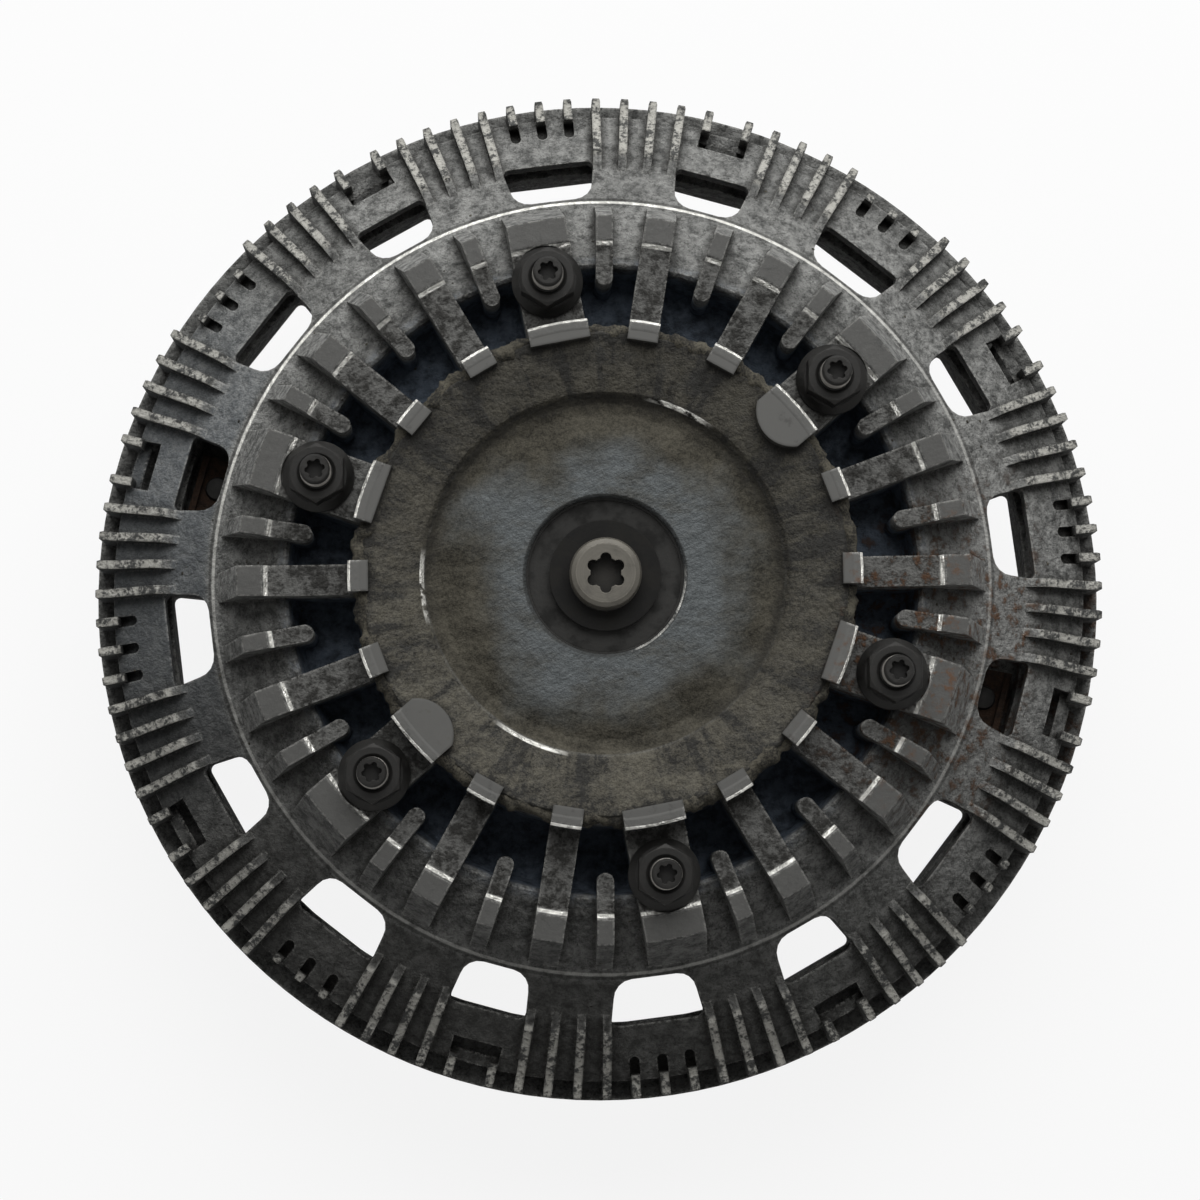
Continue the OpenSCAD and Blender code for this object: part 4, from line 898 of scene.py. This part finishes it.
class CLUTCH_OT_studio(bpy.types.Operator):
    """Sets up camera, lamp, floor and background"""

    bl_idname = "clutch.studio"
    bl_label = "Studio"

    def execute(self, context):
        studio = context.scene.studio_settings
        self.make_camera(context, studio)
        self.make_lamp(context, studio)
        self.make_world(context, studio)
        self.make_floor(context, studio)
        context.scene.view_settings.view_transform = "Standard"
        return {"FINISHED"}

    def make_camera(self, context, studio):
        heading, height = studio.camera_heading, studio.camera_height
        back = Vector((
            math.sin(heading) * math.cos(height), -math.cos(heading) * math.cos(height), math.sin(height)))
        right = Vector((0.0, 1.0, 0.0)).cross(back).normalized()
        turn = Matrix((right, back.cross(right), back)).transposed()
        aim = Vector((studio.aim_x, studio.aim_y, cover_high.z))
        lens = bpy.data.cameras.new("camera")
        lens.lens = lens.sensor_width * studio.camera_distance / studio.camera_width
        camera = bpy.data.objects.new("camera", lens)
        camera.matrix_world = Matrix.Translation(aim + back * studio.camera_distance) @ turn.to_4x4()
        context.scene.collection.objects.link(camera)
        context.scene.camera = camera

    def make_lamp(self, context, studio):
        heading, height = studio.key_heading, studio.key_height
        towards = Vector((
            math.cos(heading) * math.cos(height), math.sin(heading) * math.cos(height), math.sin(height)))
        lamp = bpy.data.lights.new("key_lamp", "AREA")
        lamp.energy = studio.key_power
        lamp.size = studio.key_size
        key = bpy.data.objects.new("key_lamp", lamp)
        key.location = Vector((0.0, 0.0, cover_high.z)) + towards * studio.key_distance
        key.rotation_euler = towards.to_track_quat("Z", "Y").to_euler()
        context.scene.collection.objects.link(key)

    def seen(self, sheet):
        """1 for rays from the camera and in gloss."""
        camera = sheet.node("ShaderNodeLightPath", output="Is Camera Ray")
        return (camera + Value(sheet, camera.socket.node.outputs["Is Glossy Ray"])).held()

    def make_world(self, context, studio):
        world = bpy.data.worlds.new("studio")
        world.use_nodes = True
        world.node_tree.nodes.clear()
        sheet = NodeSheet(world.node_tree)
        strength = studio.fill + (1 - studio.fill) * self.seen(sheet)
        shader = sheet.node("ShaderNodeBackground", {}, {"Color": (1.0, 1.0, 1.0), "Strength": strength})
        sheet.node("ShaderNodeOutputWorld", {}, {"Surface": shader})
        context.scene.world = world

    def make_floor(self, context, studio):
        side = studio.floor_size / 2
        mesh = bpy.data.meshes.new("floor")
        corners = [(-side, -side), (side, -side), (side, side), (-side, side)]
        mesh.from_pydata([(*corner, cad_low.z) for corner in corners], [], [(0, 1, 2, 3)])
        material, sheet = new_sheet("floor")
        matt = sheet.node("ShaderNodeBsdfDiffuse", {}, {"Color": studio.floor_colour})
        white = sheet.node("ShaderNodeEmission", {}, {"Color": (1.0, 1.0, 1.0), "Strength": 1.0})
        lifted = self.seen(sheet) * studio.floor_white
        shader = sheet.node("ShaderNodeMixShader", {}, {0: lifted, 1: matt, 2: white})
        sheet.node("ShaderNodeOutputMaterial", {}, {"Surface": shader})
        mesh.materials.append(material)
        floor = bpy.data.objects.new("floor", mesh)
        context.scene.collection.objects.link(floor)


OPERATORS = (CLUTCH_OT_castings, CLUTCH_OT_fasteners, CLUTCH_OT_turning, CLUTCH_OT_magnet, CLUTCH_OT_threads,
             CLUTCH_OT_grit, CLUTCH_OT_studio)
GROUPS = {"casting_zones": CastingZones, "casting_finish": CastingFinish, "steel_finish": SteelFinish,
          "thread_sizes": ThreadSizes, "grit_sizes": GritSizes, "crust_sizes": CrustSizes,
          "studio_settings": StudioSettings}


class CLUTCH_PT_looks(bpy.types.Panel):
    """Lists the settings and the steps in order"""

    bl_idname = "CLUTCH_PT_looks"
    bl_label = "Fan Clutch"
    bl_space_type = "VIEW_3D"
    bl_region_type = "UI"
    bl_category = "Fan Clutch"

    def draw(self, context):
        for label, group in GROUPS.items():
            box = self.layout.box()
            box.label(text=label.replace("_", " ").capitalize())
            for name in group.__annotations__:
                box.prop(getattr(context.scene, label), name)
        for operator in OPERATORS:
            self.layout.operator(operator.bl_idname)


def register():
    for group in GROUPS.values():
        bpy.utils.register_class(group)
    for operator in OPERATORS:
        bpy.utils.register_class(operator)
    bpy.utils.register_class(CLUTCH_PT_looks)
    for label, group in GROUPS.items():
        setattr(bpy.types.Scene, label, bpy.props.PointerProperty(type=group))


def unregister():
    for label in GROUPS:
        delattr(bpy.types.Scene, label)
    bpy.utils.unregister_class(CLUTCH_PT_looks)
    for operator in reversed(OPERATORS):
        bpy.utils.unregister_class(operator)
    for group in reversed(GROUPS.values()):
        bpy.utils.unregister_class(group)


def main():
    register()
    bpy.ops.clutch.castings()
    bpy.ops.clutch.fasteners()
    bpy.ops.clutch.turning()
    bpy.ops.clutch.magnet()
    bpy.ops.clutch.threads()
    bpy.ops.clutch.grit()
    bpy.ops.clutch.studio()


if __name__ == "__main__":
    main()
